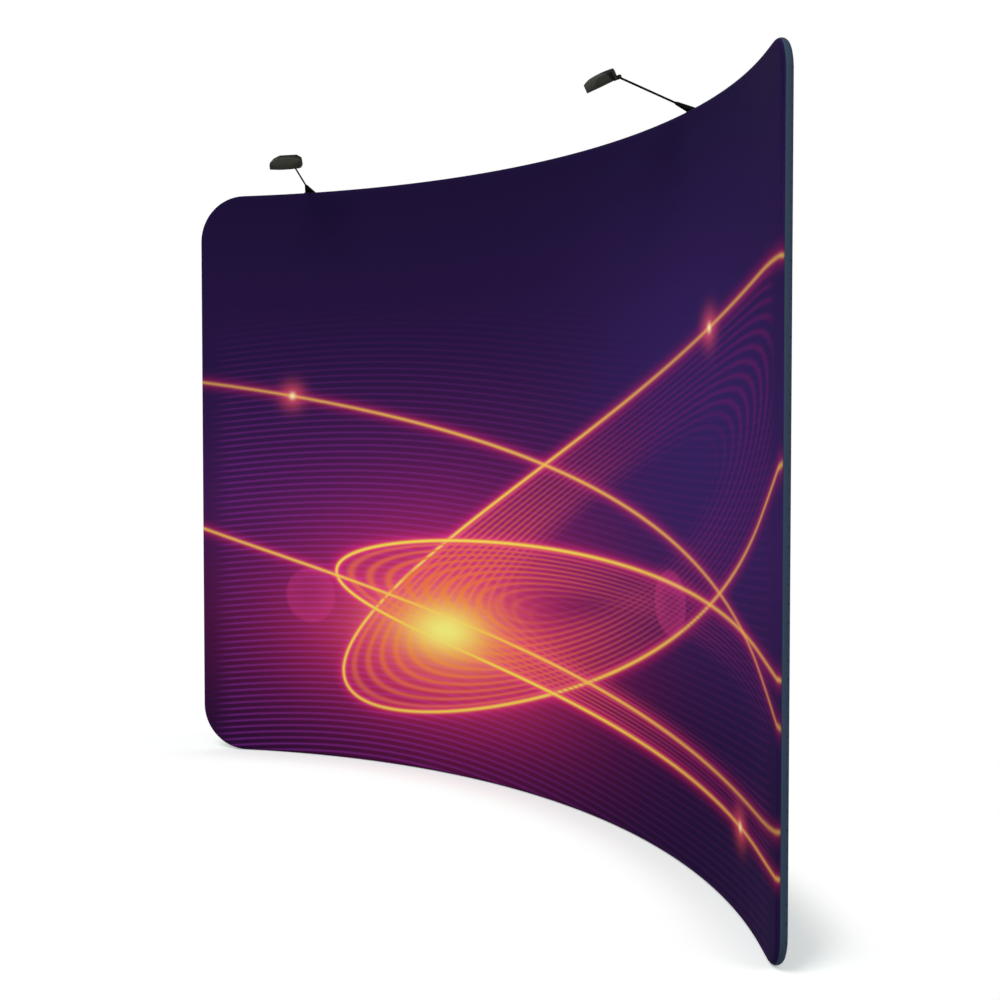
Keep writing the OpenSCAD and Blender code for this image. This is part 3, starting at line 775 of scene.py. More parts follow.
@dataclass(frozen=True)
class Print(Knit):
    """The front's knit with its print: leaning orbits with fine lines about a low glow."""

    glow: Place = (-0.52, 0.0, 0.6)
    core: Place = (-0.52, 0.0, 0.56)
    blue: Place = (0.95, 0.0, 1.3)
    orbits: tuple[Orbit, ...] = (
        Orbit(0.45, 0.99, 1.6, 0.4, math.radians(25), 22, 0.34, 0.9),
        Orbit(0.75, 0.58, 1.8, 0.28, math.radians(-6), 20, 0.4, 1.0),
        Orbit(-0.45, 0.96, 2.3, 0.35, math.radians(-13), light=0.75),
    )
    waves: float = 25.5 * MM
    wave_ends: tuple[float, float] = (1.62, 1.5)
    discs: tuple[tuple[Place, float], ...] = (((-1.16, 0.0, 0.66), 0.12), ((0.74, 0.0, 0.8), 0.11))
    glints: tuple[Place, ...] = ((-1.24, 0.0, 1.474), (1.0, 0.0, 1.633), (1.27, 0.0, 0.257))
    ground_top: float = 2.3
    ground: tuple[tuple[float, Colour], ...] = (
        (0.0, ink(30, 16, 54)),
        (0.2, ink(33, 17, 58)),
        (0.45, ink(52, 26, 78)),
        (0.7, ink(38, 20, 66)),
        (1.0, ink(26, 15, 50)),
    )

    def oval(self, graph: Graph, place: Socket, middle: Place, share: float) -> Socket:
        """The distance from a middle, of which the part to the side counts for a share."""
        return graph.away(graph.scaled(place, (share, 1, 1)), (middle[0] * share, *middle[1:]))

    def waved(self, graph: Graph, place: Socket) -> Socket:
        """Draws the dark ground and its fine waves.

        Args:
            graph: The material's graph.
            place: The place on the flat pattern.

        Returns:
            The colour there.
        """
        east, _, north = graph.parts(place)
        height = north * (1 / self.ground_top)
        ground = graph.add("ShaderNodeValToRGB", {"stops": self.ground}, {0: height})
        blue = self.oval(graph, place, self.blue, 0.8).halo(0.6)
        ground = graph.blend(blue * 0.8, ground, ink(54, 36, 100))
        line = (north + east.wave(TURN / 1.7) * 0.07).wave(self.waves) * 0.5 + 0.5
        west = east.ease(0.9, -1.2) * 0.85 + 0.15
        faint = line**3 * (1 - north.ease(0.9, 1.9)) * west * abs(east).ease(*self.wave_ends)
        return graph.blend(faint * 0.75, ground, ink(112, 40, 132))

    def crossed(self, graph: Graph, place: Socket, near: Socket, picture: Socket) -> Socket:
        """Draws the orbits over the picture.

        Args:
            graph: The material's graph.
            place: The place on the flat pattern.
            near: How near it is to the glow, 0 to 1.
            picture: The colour so far.

        Returns:
            The colour with the orbits.
        """
        parts = graph.parts(place)
        inner = abs(parts[0]).ease(*self.wave_ends)
        for orbit in self.orbits:
            share, off = orbit.measured(parts)
            if orbit.lines:
                within = share.ease(orbit.start, orbit.start + 0.3) * (share < 1.0)
                fine = (share.wave(1 / orbit.lines) * 0.5 + 0.5) ** 2 * within * inner
                hue = graph.blend(near * near, ink(146, 32, 116), ink(250, 118, 62))
                warmth = within * near * near * 0.45
                picture = graph.blend(warmth, picture, ink(196, 30, 66), "SCREEN")
                picture = graph.blend(fine * (near * 0.6 + 0.2), picture, hue)
            light = (near * 0.65 + 0.35) * orbit.light
            picture = graph.blend(off.halo(26 * MM) * light * 0.6, picture, ink(222, 16, 100), "SCREEN")
            picture = graph.blend(off.halo(9.5 * MM) * light * 0.8, picture, ink(255, 92, 62))
            picture = graph.blend(off.halo(5.5 * MM) * light, picture, ink(255, 236, 92))
        return picture

    def cloth_colour(self, graph: Graph, place: Socket) -> Socket:
        """Draws the print on the flat pattern, from the dark ground up to the glow's core.

        Args:
            graph: The material's graph.
            place: The place on the flat pattern.

        Returns:
            The colour there.
        """
        wide = self.oval(graph, place, self.glow, 0.62)
        heat = self.oval(graph, place, self.core, 0.5)
        picture = self.waved(graph, place)
        picture = graph.blend(wide.halo(0.48) * 0.8, picture, ink(168, 20, 90), "SCREEN")
        picture = graph.blend(heat.halo(0.27) * 0.9, picture, ink(238, 60, 54), "SCREEN")
        picture = self.crossed(graph, place, wide.ease(1.35, 0.1), picture)
        for middle, size in self.discs:
            off = graph.away(place, middle)
            disc = off.ease(size, size * 0.86) * (off.ease(0, size) * 0.5 + 0.5)
            picture = graph.blend(disc * 0.22, picture, ink(236, 60, 128), "SCREEN")
        for glint in self.glints:
            off = graph.away(place, glint)
            picture = graph.blend(off.halo(0.05) * 0.5, picture, ink(255, 90, 80), "SCREEN")
            picture = graph.blend(off.halo(0.013), picture, ink(255, 232, 170))
        picture = graph.blend(heat.halo(0.13) * 0.9, picture, ink(255, 178, 62))
        return graph.blend(heat.halo(0.08), picture, ink(255, 250, 130))


@dataclass(frozen=True)
class Tape(Finish):
    """The zip's woven tape, with a herringbone face and rows of stitches."""

    colour: Colour
    rows: tuple[float, ...]
    weave: float = 1.6 * MM
    zigzag: float = 6 * MM
    stitch: float = 3 * MM

    def paint(self, graph: Graph) -> None:
        """Builds the herringbone and the stitch rows on the tape's own pattern.

        Args:
            graph: The material's graph.
        """
        run, over, _ = graph.parts(graph.stored("pattern"))
        turned = abs((over * (1 / self.zigzag)).part() - 0.5) * 12
        rib = (run * (TURN / self.weave) + turned).sine() * 0.5 + 0.5
        dash = (run * (1 / self.stitch)).part() < 0.66
        thread = sum(abs(over - row).ease(0.5 * MM, 0.25 * MM) for row in self.rows) * dash
        colour = graph.blend(rib * 0.5, self.colour, toned(self.colour, 0.5))
        graph.close(
            Base_Color=graph.blend(thread * 0.7, colour, ink(58, 66, 78)),
            Roughness=rib * 0.1 + 0.72,
            Sheen_Weight=0.1,
            Normal=graph.raised(rib * 0.4 + thread, 0.2 * MM, 0.6),
        )


TUBE = Metal("satin_anodised_tube", ink(196, 198, 202), 0.34, (700, 700, 40))
SPIGOT = Metal("mill_finish_spigot", ink(186, 188, 190), 0.28, (500, 500, 90))
PIN = Metal("blackened_pin_steel", ink(34, 34, 35), 0.5, (260, 260, 260))
ZINC = Metal("zinc_plated_steel", ink(168, 170, 172), 0.3, (260, 260, 260))
SPRING = Metal("bright_spring_steel", ink(178, 179, 182), 0.22, (900, 900, 300))
CAST = Metal("plated_zip_casting", ink(120, 122, 126), 0.3, (420, 420, 420))
SADDLE = Moulded("post_saddle_moulding", ink(42, 42, 44), 0.55, 0.9 * MM)
KNOB = Moulded("thumbscrew_moulding", ink(26, 26, 27), 0.5, 0.7 * MM)
BASE = Moulded("arm_base_plastic", ink(11, 11, 12), 0.6, 0.5 * MM, specular=0.03)
SOCKET_RING = Moulded("power_socket_plastic", ink(30, 30, 31), 0.36, 0.5 * MM)
COIL = Moulded("zip_coil_nylon", ink(30, 31, 34), 0.32, 0.4 * MM)
LEAD = Moulded("lead_sheath", ink(58, 58, 58), 0.58, 0.5 * MM)
BRACKET = PowderCoat("bracket_powder_coat", ink(24, 24, 25), 0.4)
ROD = PowderCoat("arm_rod_black", ink(9, 9, 10), 0.5)
HOOD = Hood("hood_two_tone")
GLASS = Glass("lamp_glass_clear")


def finished(
    piece: bpy.types.Object, finish: Finish, body: str, nodes: Sequence[str] = ()
) -> None:
    """Dresses a piece and sets it on its body.

    Args:
        piece: The piece.
        finish: Its finish.
        body: The body that it moves with.
        nodes: The nodes that it replaces.
    """
    finish.dress(piece)
    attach(piece, body)
    if nodes:
        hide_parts(*nodes)
    LOG.info("%s: %d faces on %s", piece.name, len(piece.data.polygons), body)


# ---- The wall's plan --------------------------------------------------------------------


@dataclass(frozen=True)
class WallPlan:
    """The line that the wall follows: an arc, and a straight end as long as a corner's reach."""

    rail_r: float = 2150 * MM
    corner_r: float = 170 * MM
    right_bend: float = 85 * MM
    end_angle: float = math.radians(38.9540874)
    centre_y: float = -1857.534471 * MM
    low_z: float = 16.1 * MM
    high_z: float = 2283.9 * MM

    @property
    def flat_s(self) -> float:
        """Where the arc ends and a straight end starts, along the rail's middle."""
        return self.rail_r * self.end_angle

    @property
    def half_s(self) -> float:
        """Half the wall's length, along the rail's middle, to the upright's middle."""
        return self.flat_s + self.corner_r

    @property
    def half_z(self) -> float:
        """Half the height between the rails' middles."""
        return (self.high_z - self.low_z) / 2

    @property
    def mid_z(self) -> float:
        """The height midway between the rails."""
        return (self.high_z + self.low_z) / 2

    def bend(self, run: float) -> float:
        """The radius of the corners on the side of a run: the right ones bend more sharply."""
        return self.right_bend if run > 0 else self.corner_r

    def place(self, run: float, back: float, up: float) -> Vector:
        """Finds a point of the wall.

        Args:
            run: Length along the rail's middle, to the right.
            back: Offset behind the rail's middle.
            up: Height above the floor.

        Returns:
            The point.
        """
        angle = max(-self.end_angle, min(self.end_angle, run / self.rail_r))
        past = run - angle * self.rail_r
        out = self.rail_r + back
        east = out * math.sin(angle) + past * math.cos(angle)
        north = self.centre_y + out * math.cos(angle) - past * math.sin(angle)
        return Vector((east, north, up))

    def at_angle(self, angle: float, up: float) -> Matrix:
        """The frame at an angle of the curve and a height: X along the rail, Y to the back."""
        turn = Matrix.Rotation(-angle, 4, "Z")
        return Matrix.Translation((0, self.centre_y, up)) @ turn @ Matrix.Translation((0, self.rail_r, 0))


# ---- Cover ------------------------------------------------------------------------------


class Edge(Enum):
    """The four stretches of the cover's edge band, each with its node."""

    BOTTOM = "edge_band_bottom"
    RIGHT = "edge_band_right"
    TOP = "edge_band_top"
    LEFT = "edge_band_left"


@dataclass
class Cover:
    """The stretch cover: its printed front, plain back and the band round its edge."""

    plan: WallPlan
    lights: tuple[float, ...]
    thick: float = 0.8 * MM
    wrap: float = 16.1 * MM
    print_turn: float = math.radians(66)
    front_bow: float = 6 * MM
    back_bow: float = 2.5 * MM
    bow_power: int = 8
    stretch: float = 0.96
    corner_cells: int = 8
    leg_cells: int = 4
    run_cells: int = 148
    rise_cells: int = 96
    print_rings: int = 6
    band_rings: int = 12
    screw_dip: float = math.radians(20)
    screw_hole: float = 3.3 * MM
    punch_l: float = 20 * MM
    hem_gap: float = 20 * MM
    tick: float = 46 * MM
    tick_reach: float = 18 * MM

    def stations(self, half: float, cells: int) -> list[float]:
        """Grid lines across the flat pattern, closer together in the corners.

        Args:
            half: Half the whole length.
            cells: Cells between the corners.

        Returns:
            The lines' places, from low to high, about the middle.
        """
        wide, sharp = self.plan.corner_r, self.plan.right_bend
        marks = [-half, sharp - half, wide - half, half - wide, half - sharp, half]
        corner = self.corner_cells
        lines = [-half]
        for low, high, count in zip(marks, marks[1:], (corner, corner, cells, corner, corner)):
            lines += [low + (high - low) * step / count for step in range(1, count + 1)]
        return lines

    def rounded(self, run: float, rise: float) -> tuple[float, float]:
        """Draws the square corners of the grid in to the cover's round ones.

        Args:
            run: Place along the rail, from the middle.
            rise: Place up the wall, from mid height.

        Returns:
            The same place with the corner rounded.
        """
        plan = self.plan
        bend = plan.bend(run)
        side = (abs(run) - plan.half_s) / bend + 1
        up = (abs(rise) - plan.half_z) / bend + 1
        if side <= 0 or up <= 0:
            return run, rise
        round_side = side * math.sqrt(1 - up * up / 2)
        round_up = up * math.sqrt(1 - side * side / 2)
        at_run = math.copysign(plan.half_s + (round_side - 1) * bend, run)
        return at_run, math.copysign(plan.half_z + (round_up - 1) * bend, rise)

    def sheet(self, front: bool) -> tuple[list[Vector], list[Place], list[tuple[int, ...]], list[int]]:
        """Lays out the flat part of the front or the back.

        Args:
            front: Whether it's the front.

        Returns:
            Its points, their places on the flat pattern, its faces, and its outline's points,
            from the middle of the foot to the right and round.
        """
        plan = self.plan
        runs = self.stations(plan.half_s, self.run_cells)
        rises = self.stations(plan.half_z, self.rise_cells)
        back, bow = (-self.wrap, self.front_bow) if front else (self.wrap, self.back_bow)
        points, flat = [], []
        for rise in rises:
            for run in runs:
                inward = (1 - abs(run / plan.half_s) ** self.bow_power) * (1 - (rise / plan.half_z) ** 2)
                at_run, at_rise = self.rounded(run, rise)
                points.append(plan.place(at_run, back - bow * inward, plan.mid_z + at_rise))
                flat.append((at_run, 0.0, plan.mid_z + at_rise))
        wide, high = len(runs), len(rises)
        faces = grid_faces(high, wide)
        foot = list(range(wide // 2, wide - 1))
        right = [row * wide + wide - 1 for row in range(high - 1)]
        top = [(high - 1) * wide + column for column in range(wide - 1, 0, -1)]
        left = [row * wide for row in range(high - 1, 0, -1)]
        outline = foot + right + top + left + list(range(wide // 2))
        return points, flat, faces if front else [face[::-1] for face in faces], outline

    def ways_out(self, spots: Iterable[Place]) -> list[tuple[float, float]]:
        """Finds the way out of the wall at places on the flat outline.

        Args:
            spots: The places.

        Returns:
            How far each way goes to the side and up.
        """
        plan = self.plan
        ways = []
        for run, _, up in spots:
            rise = up - plan.mid_z
            side = max(0.0, abs(run) - plan.half_s + plan.bend(run))
            over = max(0.0, abs(rise) - plan.half_z + plan.bend(run))
            length = math.hypot(side, over)
            ways.append((math.copysign(side / length, run), math.copysign(over / length, rise)))
        return ways

    def rings(
        self, spots: Sequence[Place], turns: Iterable[float]
    ) -> tuple[list[Vector], list[Place], list[Place]]:
        """Lays rings of fabric round the tube along a line of the flat outline.

        Args:
            spots: The line's places on the flat pattern.
            turns: How far round the tube each ring is, from its front, in radians.

        Returns:
            The points, their places on the flat pattern, and how far along the line and round
            the tube they are.
        """
        ways = self.ways_out(spots)
        lengths = list(accumulate(map(math.dist, spots, spots[1:]), initial=0.0))
        points, flat, hem = [], [], []
        for turn in turns:
            off, arc, back = self.wrap * math.sin(turn), self.wrap * turn, -self.wrap * math.cos(turn)
            for (run, _, up), (side, over), length in zip(spots, ways, lengths):
                points.append(self.plan.place(run + side * off, back, up + over * off))
                flat.append((run + side * arc, 0.0, up + over * arc))
                hem.append((length, arc, 0.0))
        return points, flat, hem

    def front(self) -> bpy.types.Object:
        """Makes the printed front, drawn round the tubes to the edge band.

        Returns:
            The piece.
        """
        points, flat, faces, ring = self.sheet(True)
        count, steps = len(ring), self.print_rings
        turns = [self.print_turn * number / steps for number in range(steps + 1)]
        round_points, round_flat, round_hem = self.rings([flat[index] for index in ring], turns)
        hem = [(0.0, -self.hem_gap, 0.0)] * len(points)
        for index, mark in zip(ring, round_hem):
            hem[index] = mark
        for first in range(len(points), len(points) + steps * count, count):
            after = list(range(first, first + count))
            faces += zip(ring, after, after[1:] + after[:1], ring[1:] + ring[:1])
            ring = after
        points += round_points[count:]
        flat += round_flat[count:]
        hem += round_hem[count:]
        return sewn("printed_front", points, faces, self.thick, pattern=flat, hem=hem)

    def back(self) -> bpy.types.Object:
        """Makes the plain back, with a hole for each bracket's thumbscrew.

        Returns:
            The piece.
        """
        points, flat, faces, _ = self.sheet(False)
        piece = sewn("plain_back", points, faces, self.thick, pattern=flat)
        for angle in self.lights:
            dip = Matrix.Rotation(-math.pi / 2 - self.screw_dip, 4, "X")
            line = self.plan.at_angle(angle, self.plan.high_z) @ dip
            bpy.ops.object.select_all(action="DESELECT")
            bpy.ops.mesh.primitive_cylinder_add(vertices=24, radius=self.screw_hole, depth=self.punch_l)
            punch = named_active("punch")
            punch.data.transform(line @ Matrix.Translation((0, 0, self.wrap)))
            worked(piece, "BOOLEAN", operation="DIFFERENCE", object=punch, solver="EXACT")
            bpy.data.objects.remove(punch)
        smooth(piece)
        return piece

    def edge_spots(self, edge: Edge) -> list[Place]:
        """The flat outline's places along one stretch of the band.

        Args:
            edge: Which stretch.

        Returns:
            Its places, anticlockwise seen from the front.
        """
        plan, along, rising, steps = self.plan, self.run_cells, self.rise_cells, 2 * self.corner_cells
        if edge in (Edge.BOTTOM, Edge.TOP):
            up = plan.low_z if edge is Edge.BOTTOM else plan.high_z
            runs = [-plan.flat_s + 2 * plan.flat_s * number / along for number in range(along + 1)]
            line = [(run, 0.0, up) for run in runs]
            return line if edge is Edge.BOTTOM else line[::-1]
        sign = 1.0 if edge is Edge.RIGHT else -1.0
        bend = plan.bend(sign)
        leg, rise = plan.corner_r - bend, plan.half_z - bend
        legs = [leg * number / self.leg_cells for number in range(self.leg_cells)] if leg else []
        angles = [math.pi / 2 * number / steps for number in range(steps + 1)]
        low = [(plan.flat_s + run, plan.low_z) for run in legs]
        low += [
            (plan.half_s + (math.sin(angle) - 1) * bend, plan.low_z + (1 - math.cos(angle)) * bend)
            for angle in angles
        ]
        ups = [plan.mid_z - rise + 2 * rise * number / rising for number in range(1, rising)]
        high = [(run, 2 * plan.mid_z - up) for run, up in reversed(low)]
        line = [(sign * run, 0.0, up) for run, up in low + [(plan.half_s, up) for up in ups] + high]
        return line if edge is Edge.RIGHT else line[::-1]

    def band(self, edge: Edge) -> tuple[bpy.types.Object, float]:
        """Makes one stretch of the edge band, from the print round to the back.

        Args:
            edge: Which stretch.

        Returns:
            The piece and its length on the frame.
        """
        spots, steps, rest = self.edge_spots(edge), self.band_rings, math.pi - self.print_turn
        turns = [self.print_turn + rest * number / steps for number in range(steps + 1)]
        points, _, hem = self.rings(spots, turns)
        faces = [(a, d, c, b) for a, b, c, d in grid_faces(len(turns), len(spots))]
        name = edge.value.replace("edge_band", "slate_band")
        return sewn(name, points, faces, self.thick, hem=hem, pattern=hem), hem[-1][0]

    def build(self) -> None:
        plan, cut = self.plan, self.stretch
        thirds, halves = ("left", "centre", "right"), ("lower", "upper")
        frame = [f"{level}_rail_{part}" for level in ("top", "bottom") for part in thirds]
        frame += [f"upright_{side}_{part}" for side in ("left", "right") for part in halves]
        seam, rear = self.wrap * self.print_turn, self.wrap * math.pi
        corners = (2 - math.pi / 2) * (plan.corner_r**2 + plan.right_bend**2)

        printed = Print("printed_knit", ink(40, 24, 72), (seam,))
        plain = Knit("plain_back_knit", ink(50, 61, 79))
        bend = self.wrap * plan.end_angle
        for piece, knit, slot, node, half_wide, half_high in (
            (self.front(), printed, "printed_fabric", "front_panel", plan.half_s + seam, plan.half_z + seam),
            (self.back(), plain, "lining_fabric", "back_panel", plan.half_s + bend, plan.half_z),
        ):
            finished(piece, knit, "wall", [node])
            wide, high = 2 * half_wide, 2 * half_high
            area = (wide * high - corners) * cut * cut
            wide * cut
            high * cut
        ticks = (rear - self.tick_reach, rear)
        slate = Knit("slate_band_knit", ink(53, 67, 86), (seam, rear), self.tick, ticks)
        for edge in Edge:
            piece, length = self.band(edge)
            finished(piece, slate, "wall", [edge.value])
            rear - seam
            length * cut


# ---- Pieces that copy a node ------------------------------------------------------------


@dataclass(frozen=True)
class RoundedCopy:
    """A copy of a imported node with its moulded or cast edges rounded."""

    node: str
    name: str
    edge: float
    steps: int = 2
    sharp: float = math.radians(32)
    weld: float = 0.01 * MM
    flat: float = math.radians(0.8)

    def make(self, nodes: Nodes, own: Matrix) -> bpy.types.Object:
        """Makes the copy, and stores its points' places in its own frame.

        Args:
            nodes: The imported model's nodes.
            own: The frame of the sub-assembly, in the frame of the model.

        Returns:
            The copy.
        """
        piece = placed(self.name, nodes[self.node].data.copy())
        with editing(piece, "VERT"):
            bpy.ops.mesh.select_all(action="SELECT")
            bpy.ops.mesh.remove_doubles(threshold=self.weld)
            bpy.ops.mesh.customdata_custom_splitnormals_clear()
            bpy.ops.mesh.dissolve_limited(angle_limit=self.flat)
        worked(
            piece,
            "BEVEL",
            width=self.edge,
            segments=self.steps,
            limit_method="ANGLE",
            angle_limit=self.sharp,
            miter_outer="MITER_ARC",
            harden_normals=False,
        )
        smooth(piece, 30)
        inverse = own.inverted()
        marked(piece, "own", [inverse @ point.co for point in piece.data.vertices])
        return piece


# ---- Zip --------------------------------------------------------------------------------


@dataclass
class Zip:
    """The zip along the foot of the back: tape, coil, stops, slider and pull.

    Half of the tapes' section is given by places away from the zip's middle, each with its lift.
    """

    plan: WallPlan
    height: float = 70 * MM
    reach: float = math.radians(37.3551354)
    slider_angle: float = math.radians(36.8221514)
    tape_t: float = 0.3 * MM
    tape_out: float = 16.75 * MM
    tape_cells: int = 160
    tape_half: tuple[tuple[float, float], ...] = (
        (15 * MM, -0.2 * MM),
        (14.2 * MM, 0.0),
        (8 * MM, 0.0),
        (2 * MM, 0.0),
        (0.0, -0.25 * MM),
    )
    seams: tuple[float, ...] = (-12.5 * MM, -4.4 * MM, 4.4 * MM, 12.5 * MM)
    coil_in: float = 16.8 * MM
    coil_t: float = 1.6 * MM
    coil_w: float = 6 * MM
    pitch: float = 2.5 * MM
    tooth_r: float = 0.56 * MM
    tooth_l: float = 3.3 * MM
    tooth_off: float = 1.35 * MM
    tooth_edge: float = 0.25 * MM
    stop_l: float = 8 * MM
    stop_lip: float = 1 * MM
    stop_edge: float = 0.6 * MM
    stop_rim: float = 1.2 * MM
    stop_dent: float = 0.3 * MM

    @property
    def half(self) -> float:
        """Half the zip's length along the rail's middle."""
        return self.plan.rail_r * self.reach

    def on_curve(self, point: Vector) -> Vector:
        """Takes a point from the straight zip to its place on the back's curve."""
        return self.plan.place(point.x, point.y, self.height + point.z)

    def tape(self) -> bpy.types.Object:
        """Makes the two tapes, which meet under the coil, with their woven selvedges.

        Returns:
            The piece.
        """
        lines = [(-over, lift) for over, lift in self.tape_half] + list(self.tape_half[-2::-1])
        points, flat = [], []
        for over, lift in lines:
            for number in range(self.tape_cells + 1):
                run = -self.half + 2 * self.half * number / self.tape_cells
                points.append(self.on_curve(Vector((run, self.tape_out + lift, over))))
                flat.append((run, over, 0.0))
        faces = [(a, d, c, b) for a, b, c, d in grid_faces(len(lines), self.tape_cells + 1)]
        return sewn("zip_tapes", points, faces, self.tape_t, pattern=flat)

    def tooth(self, side: int) -> bpy.types.Object:
        """Makes one turn of the coil.

        Args:
            side: Its half of the coil: 1 is the upper one, and -1 the lower.

        Returns:
            The turn, in the middle of the straight zip.
        """
        bpy.ops.object.select_all(action="DESELECT")
        bpy.ops.mesh.primitive_cylinder_add(vertices=6, radius=self.tooth_r, depth=self.tooth_l)
        piece = named_active("tooth")
        with editing(piece, "EDGE"):
            choose(piece, "edges", lambda e: abs(e.verts[0].co.z - e.verts[1].co.z) < 0.01 * MM)
            bpy.ops.mesh.bevel(offset=self.tooth_edge, segments=1, affect="EDGES")
        shift = (side * self.pitch / 4, self.coil_in + self.coil_t / 2, side * self.tooth_off)
        flatten = Matrix.Diagonal((1, self.coil_t / (2 * self.tooth_r), 1, 1))
        piece.data.transform(Matrix.Translation(shift) @ flatten)
        return piece

    def coil(self) -> bpy.types.Object:
        """Makes the closed coil.

        Returns:
            The piece.
        """
        piece, lower = self.tooth(1), self.tooth(-1)
        pick(piece)
        lower.select_set(True)
        bpy.ops.object.join()
        piece.name = piece.data.name = "zip_coil_turns"
        count = int(2 * (self.half - self.stop_l) / self.pitch)
        worked(
            piece,
            "ARRAY",
            fit_type="FIXED_COUNT",
            count=count,
            use_relative_offset=False,
            use_constant_offset=True,
            constant_offset_displace=(self.pitch, 0, 0),
        )
        piece.data.transform(Matrix.Translation((self.pitch / 2 - count * self.pitch / 2, 0, 0)))
        laid(piece, self.on_curve)
        smooth(piece)
        return piece

    def stop(self, side: int) -> bpy.types.Object:
        """Makes the crimped metal stop at one end of the coil.

        Args:
            side: Which end: 1 is the right one, and -1 the left.

        Returns:
            The piece.
        """
        bpy.ops.object.select_all(action="DESELECT")
        bpy.ops.mesh.primitive_cube_add(size=1)
        piece = named_active("zip_stop_right" if side > 0 else "zip_stop_left")
        deep = self.coil_t + self.stop_lip
        piece.data.transform(Matrix.Diagonal((self.stop_l, deep, self.coil_w + 2 * self.stop_lip, 1)))
        with editing(piece, "EDGE"):
            bpy.ops.mesh.select_all(action="SELECT")
            bpy.ops.mesh.bevel(offset=self.stop_edge, segments=3, affect="EDGES")
        with editing(piece, "FACE"):
            choose(piece, "faces", lambda f: f.normal.y > 0.9 and f.calc_area() > 10 * MM * MM)
            bpy.ops.mesh.inset(thickness=self.stop_rim, depth=-self.stop_dent)
        run = side * (self.half - self.stop_l / 2)
        piece.data.transform(Matrix.Translation((run, self.coil_in + deep / 2, 0)))
        laid(piece, self.on_curve)
        smooth(piece, 35)
        return piece

    def build(self, nodes: Nodes) -> None:
        """Makes and dresses the zip.

        Args:
            nodes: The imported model's nodes.
        """
        tape = self.tape()
        weave = Tape("zip_tape_weave", ink(27, 30, 36), self.seams)
        finished(tape, weave, "wall", ["zip_tape"])
        finished(self.coil(), COIL, "wall", ["zip_coil"])
        for side in (-1, 1):
            finished(self.stop(side), CAST, "wall")
        place = self.plan.at_angle(self.slider_angle, self.height)
        slider = RoundedCopy("zip_slider", "zip_slider_body", 0.45 * MM)
        pull = RoundedCopy("zip_pull", "zip_pull_tab", 0.5 * MM, 3)
        for copy in (slider, pull):
            finished(copy.make(nodes, place), CAST, copy.node, [copy.node])


# ---- Spotlights -------------------------------------------------------------------------


@dataclass
class Spotlight:
    """One arm spotlight: its bracket on the rail, arm base, rod and lamp head."""

    side: str
    plan: WallPlan
    angle: float
    swivel: float
    tilt: float
    twist: float
    rise: float = math.radians(18)
    arm_l: float = 274 * MM
    swivel_back: float = 27 * MM
    swivel_up: float = 14 * MM
    lamp_rows: tuple[float, ...] = (41 * MM, 52 * MM, 63 * MM)
    lamp_aside: float = 27 * MM
    driver_x: float = 30 * MM

    def at_light(self) -> Matrix:
        """The light's place on the top rail: X to the front, Z up."""
        return self.plan.at_angle(self.angle, self.plan.high_z) @ Matrix.Rotation(-math.pi / 2, 4, "Z")

    def at_swivel(self) -> Matrix:
        """The swivel's frame: X along the arm, Z along the swivel."""
        seat = self.at_light() @ Matrix.Translation((-self.swivel_back, 0, self.swivel_up))
        return seat @ (Matrix.Rotation(-self.rise, 4, "Y") @ Matrix.Rotation(self.swivel, 4, "Z"))

    def at_head(self) -> Matrix:
        """The head's frame: at its pin, X along the head, Z up out of the hood."""
        along = Matrix.Rotation(self.twist, 4, "X") @ Matrix.Translation((self.arm_l, 0, 0))
        return self.at_swivel() @ along @ Matrix.Rotation(self.rise + self.tilt, 4, "Y")

    def build(self, nodes: Nodes) -> None:
        """Makes and dresses the light.

        Args:
            nodes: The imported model's nodes.
        """
        side, light, swivel, head = self.side, self.at_light(), self.at_swivel(), self.at_head()
        arm, lamp = f"{side}_arm", f"{side}_head"
        lamps = tuple((x, k * self.lamp_aside, 0.0) for x in self.lamp_rows for k in (-1, 0, 1))
        board = Board("lamp_board_white", lamps, self.driver_x)
        for part, finish, body, slot, own, edge, steps in (
            ("bracket", BRACKET, "wall", "bracket_black", light, 1.2 * MM, 3),
            ("thumbscrew", KNOB, f"thumbscrew_{side}", "knob_plastic", light, 0.5 * MM, 2),
            ("arm_base", BASE, arm, "base_plastic", swivel, 0.7 * MM, 3),
            ("power_socket", SOCKET_RING, arm, "socket_plastic", swivel, 0.3 * MM, 2),
            ("hood", HOOD, lamp, "hood_plastic", head, 1.0 * MM, 3),
            ("led_board", board, lamp, "board_white", head, 0.25 * MM, 2),
        ):
            node = f"{part}_{side}"
            piece = RoundedCopy(node, f"rounded_{node}", edge, steps).make(nodes, own)
            finished(piece, finish, body, [node])
        kept = {"arm_rod": ROD, "arm_lead": LEAD, "head_pin": PIN, "lamp_glass": GLASS}
        for part, finish in kept.items():
            finish.dress(nodes[f"{part}_{side}"])
        LOG.info("%s light at %.1f degrees", side, math.degrees(self.angle))


# ---- Tube frame -------------------------------------------------------------------------


@dataclass
class TubeFrame:
    """The bent tube frame under the cover, whose solids stay as the model has them."""

    tubes: tuple[str, ...] = ("top_rail", "bottom_rail", "elbow", "upright", "post_left", "post_right")

    def build(self, nodes: Nodes) -> None:
        """Dresses the tubes and what joins them.

        Args:
            nodes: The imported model's nodes.
        """
        for name, node in nodes.items():
            if name.startswith(self.tubes):
                TUBE.dress(node)
            elif name.startswith("snap_"):
                SPRING.dress(node)
        SPIGOT.dress(nodes["tube_spigots"])
        SADDLE.dress(nodes["post_saddles"])
        ZINC.dress(nodes["rivet_nuts"])
        PIN.dress(nodes["swivel_bolts"])
        LOG.info("tube frame dressed")


# ---- Studio -----------------------------------------------------------------------------


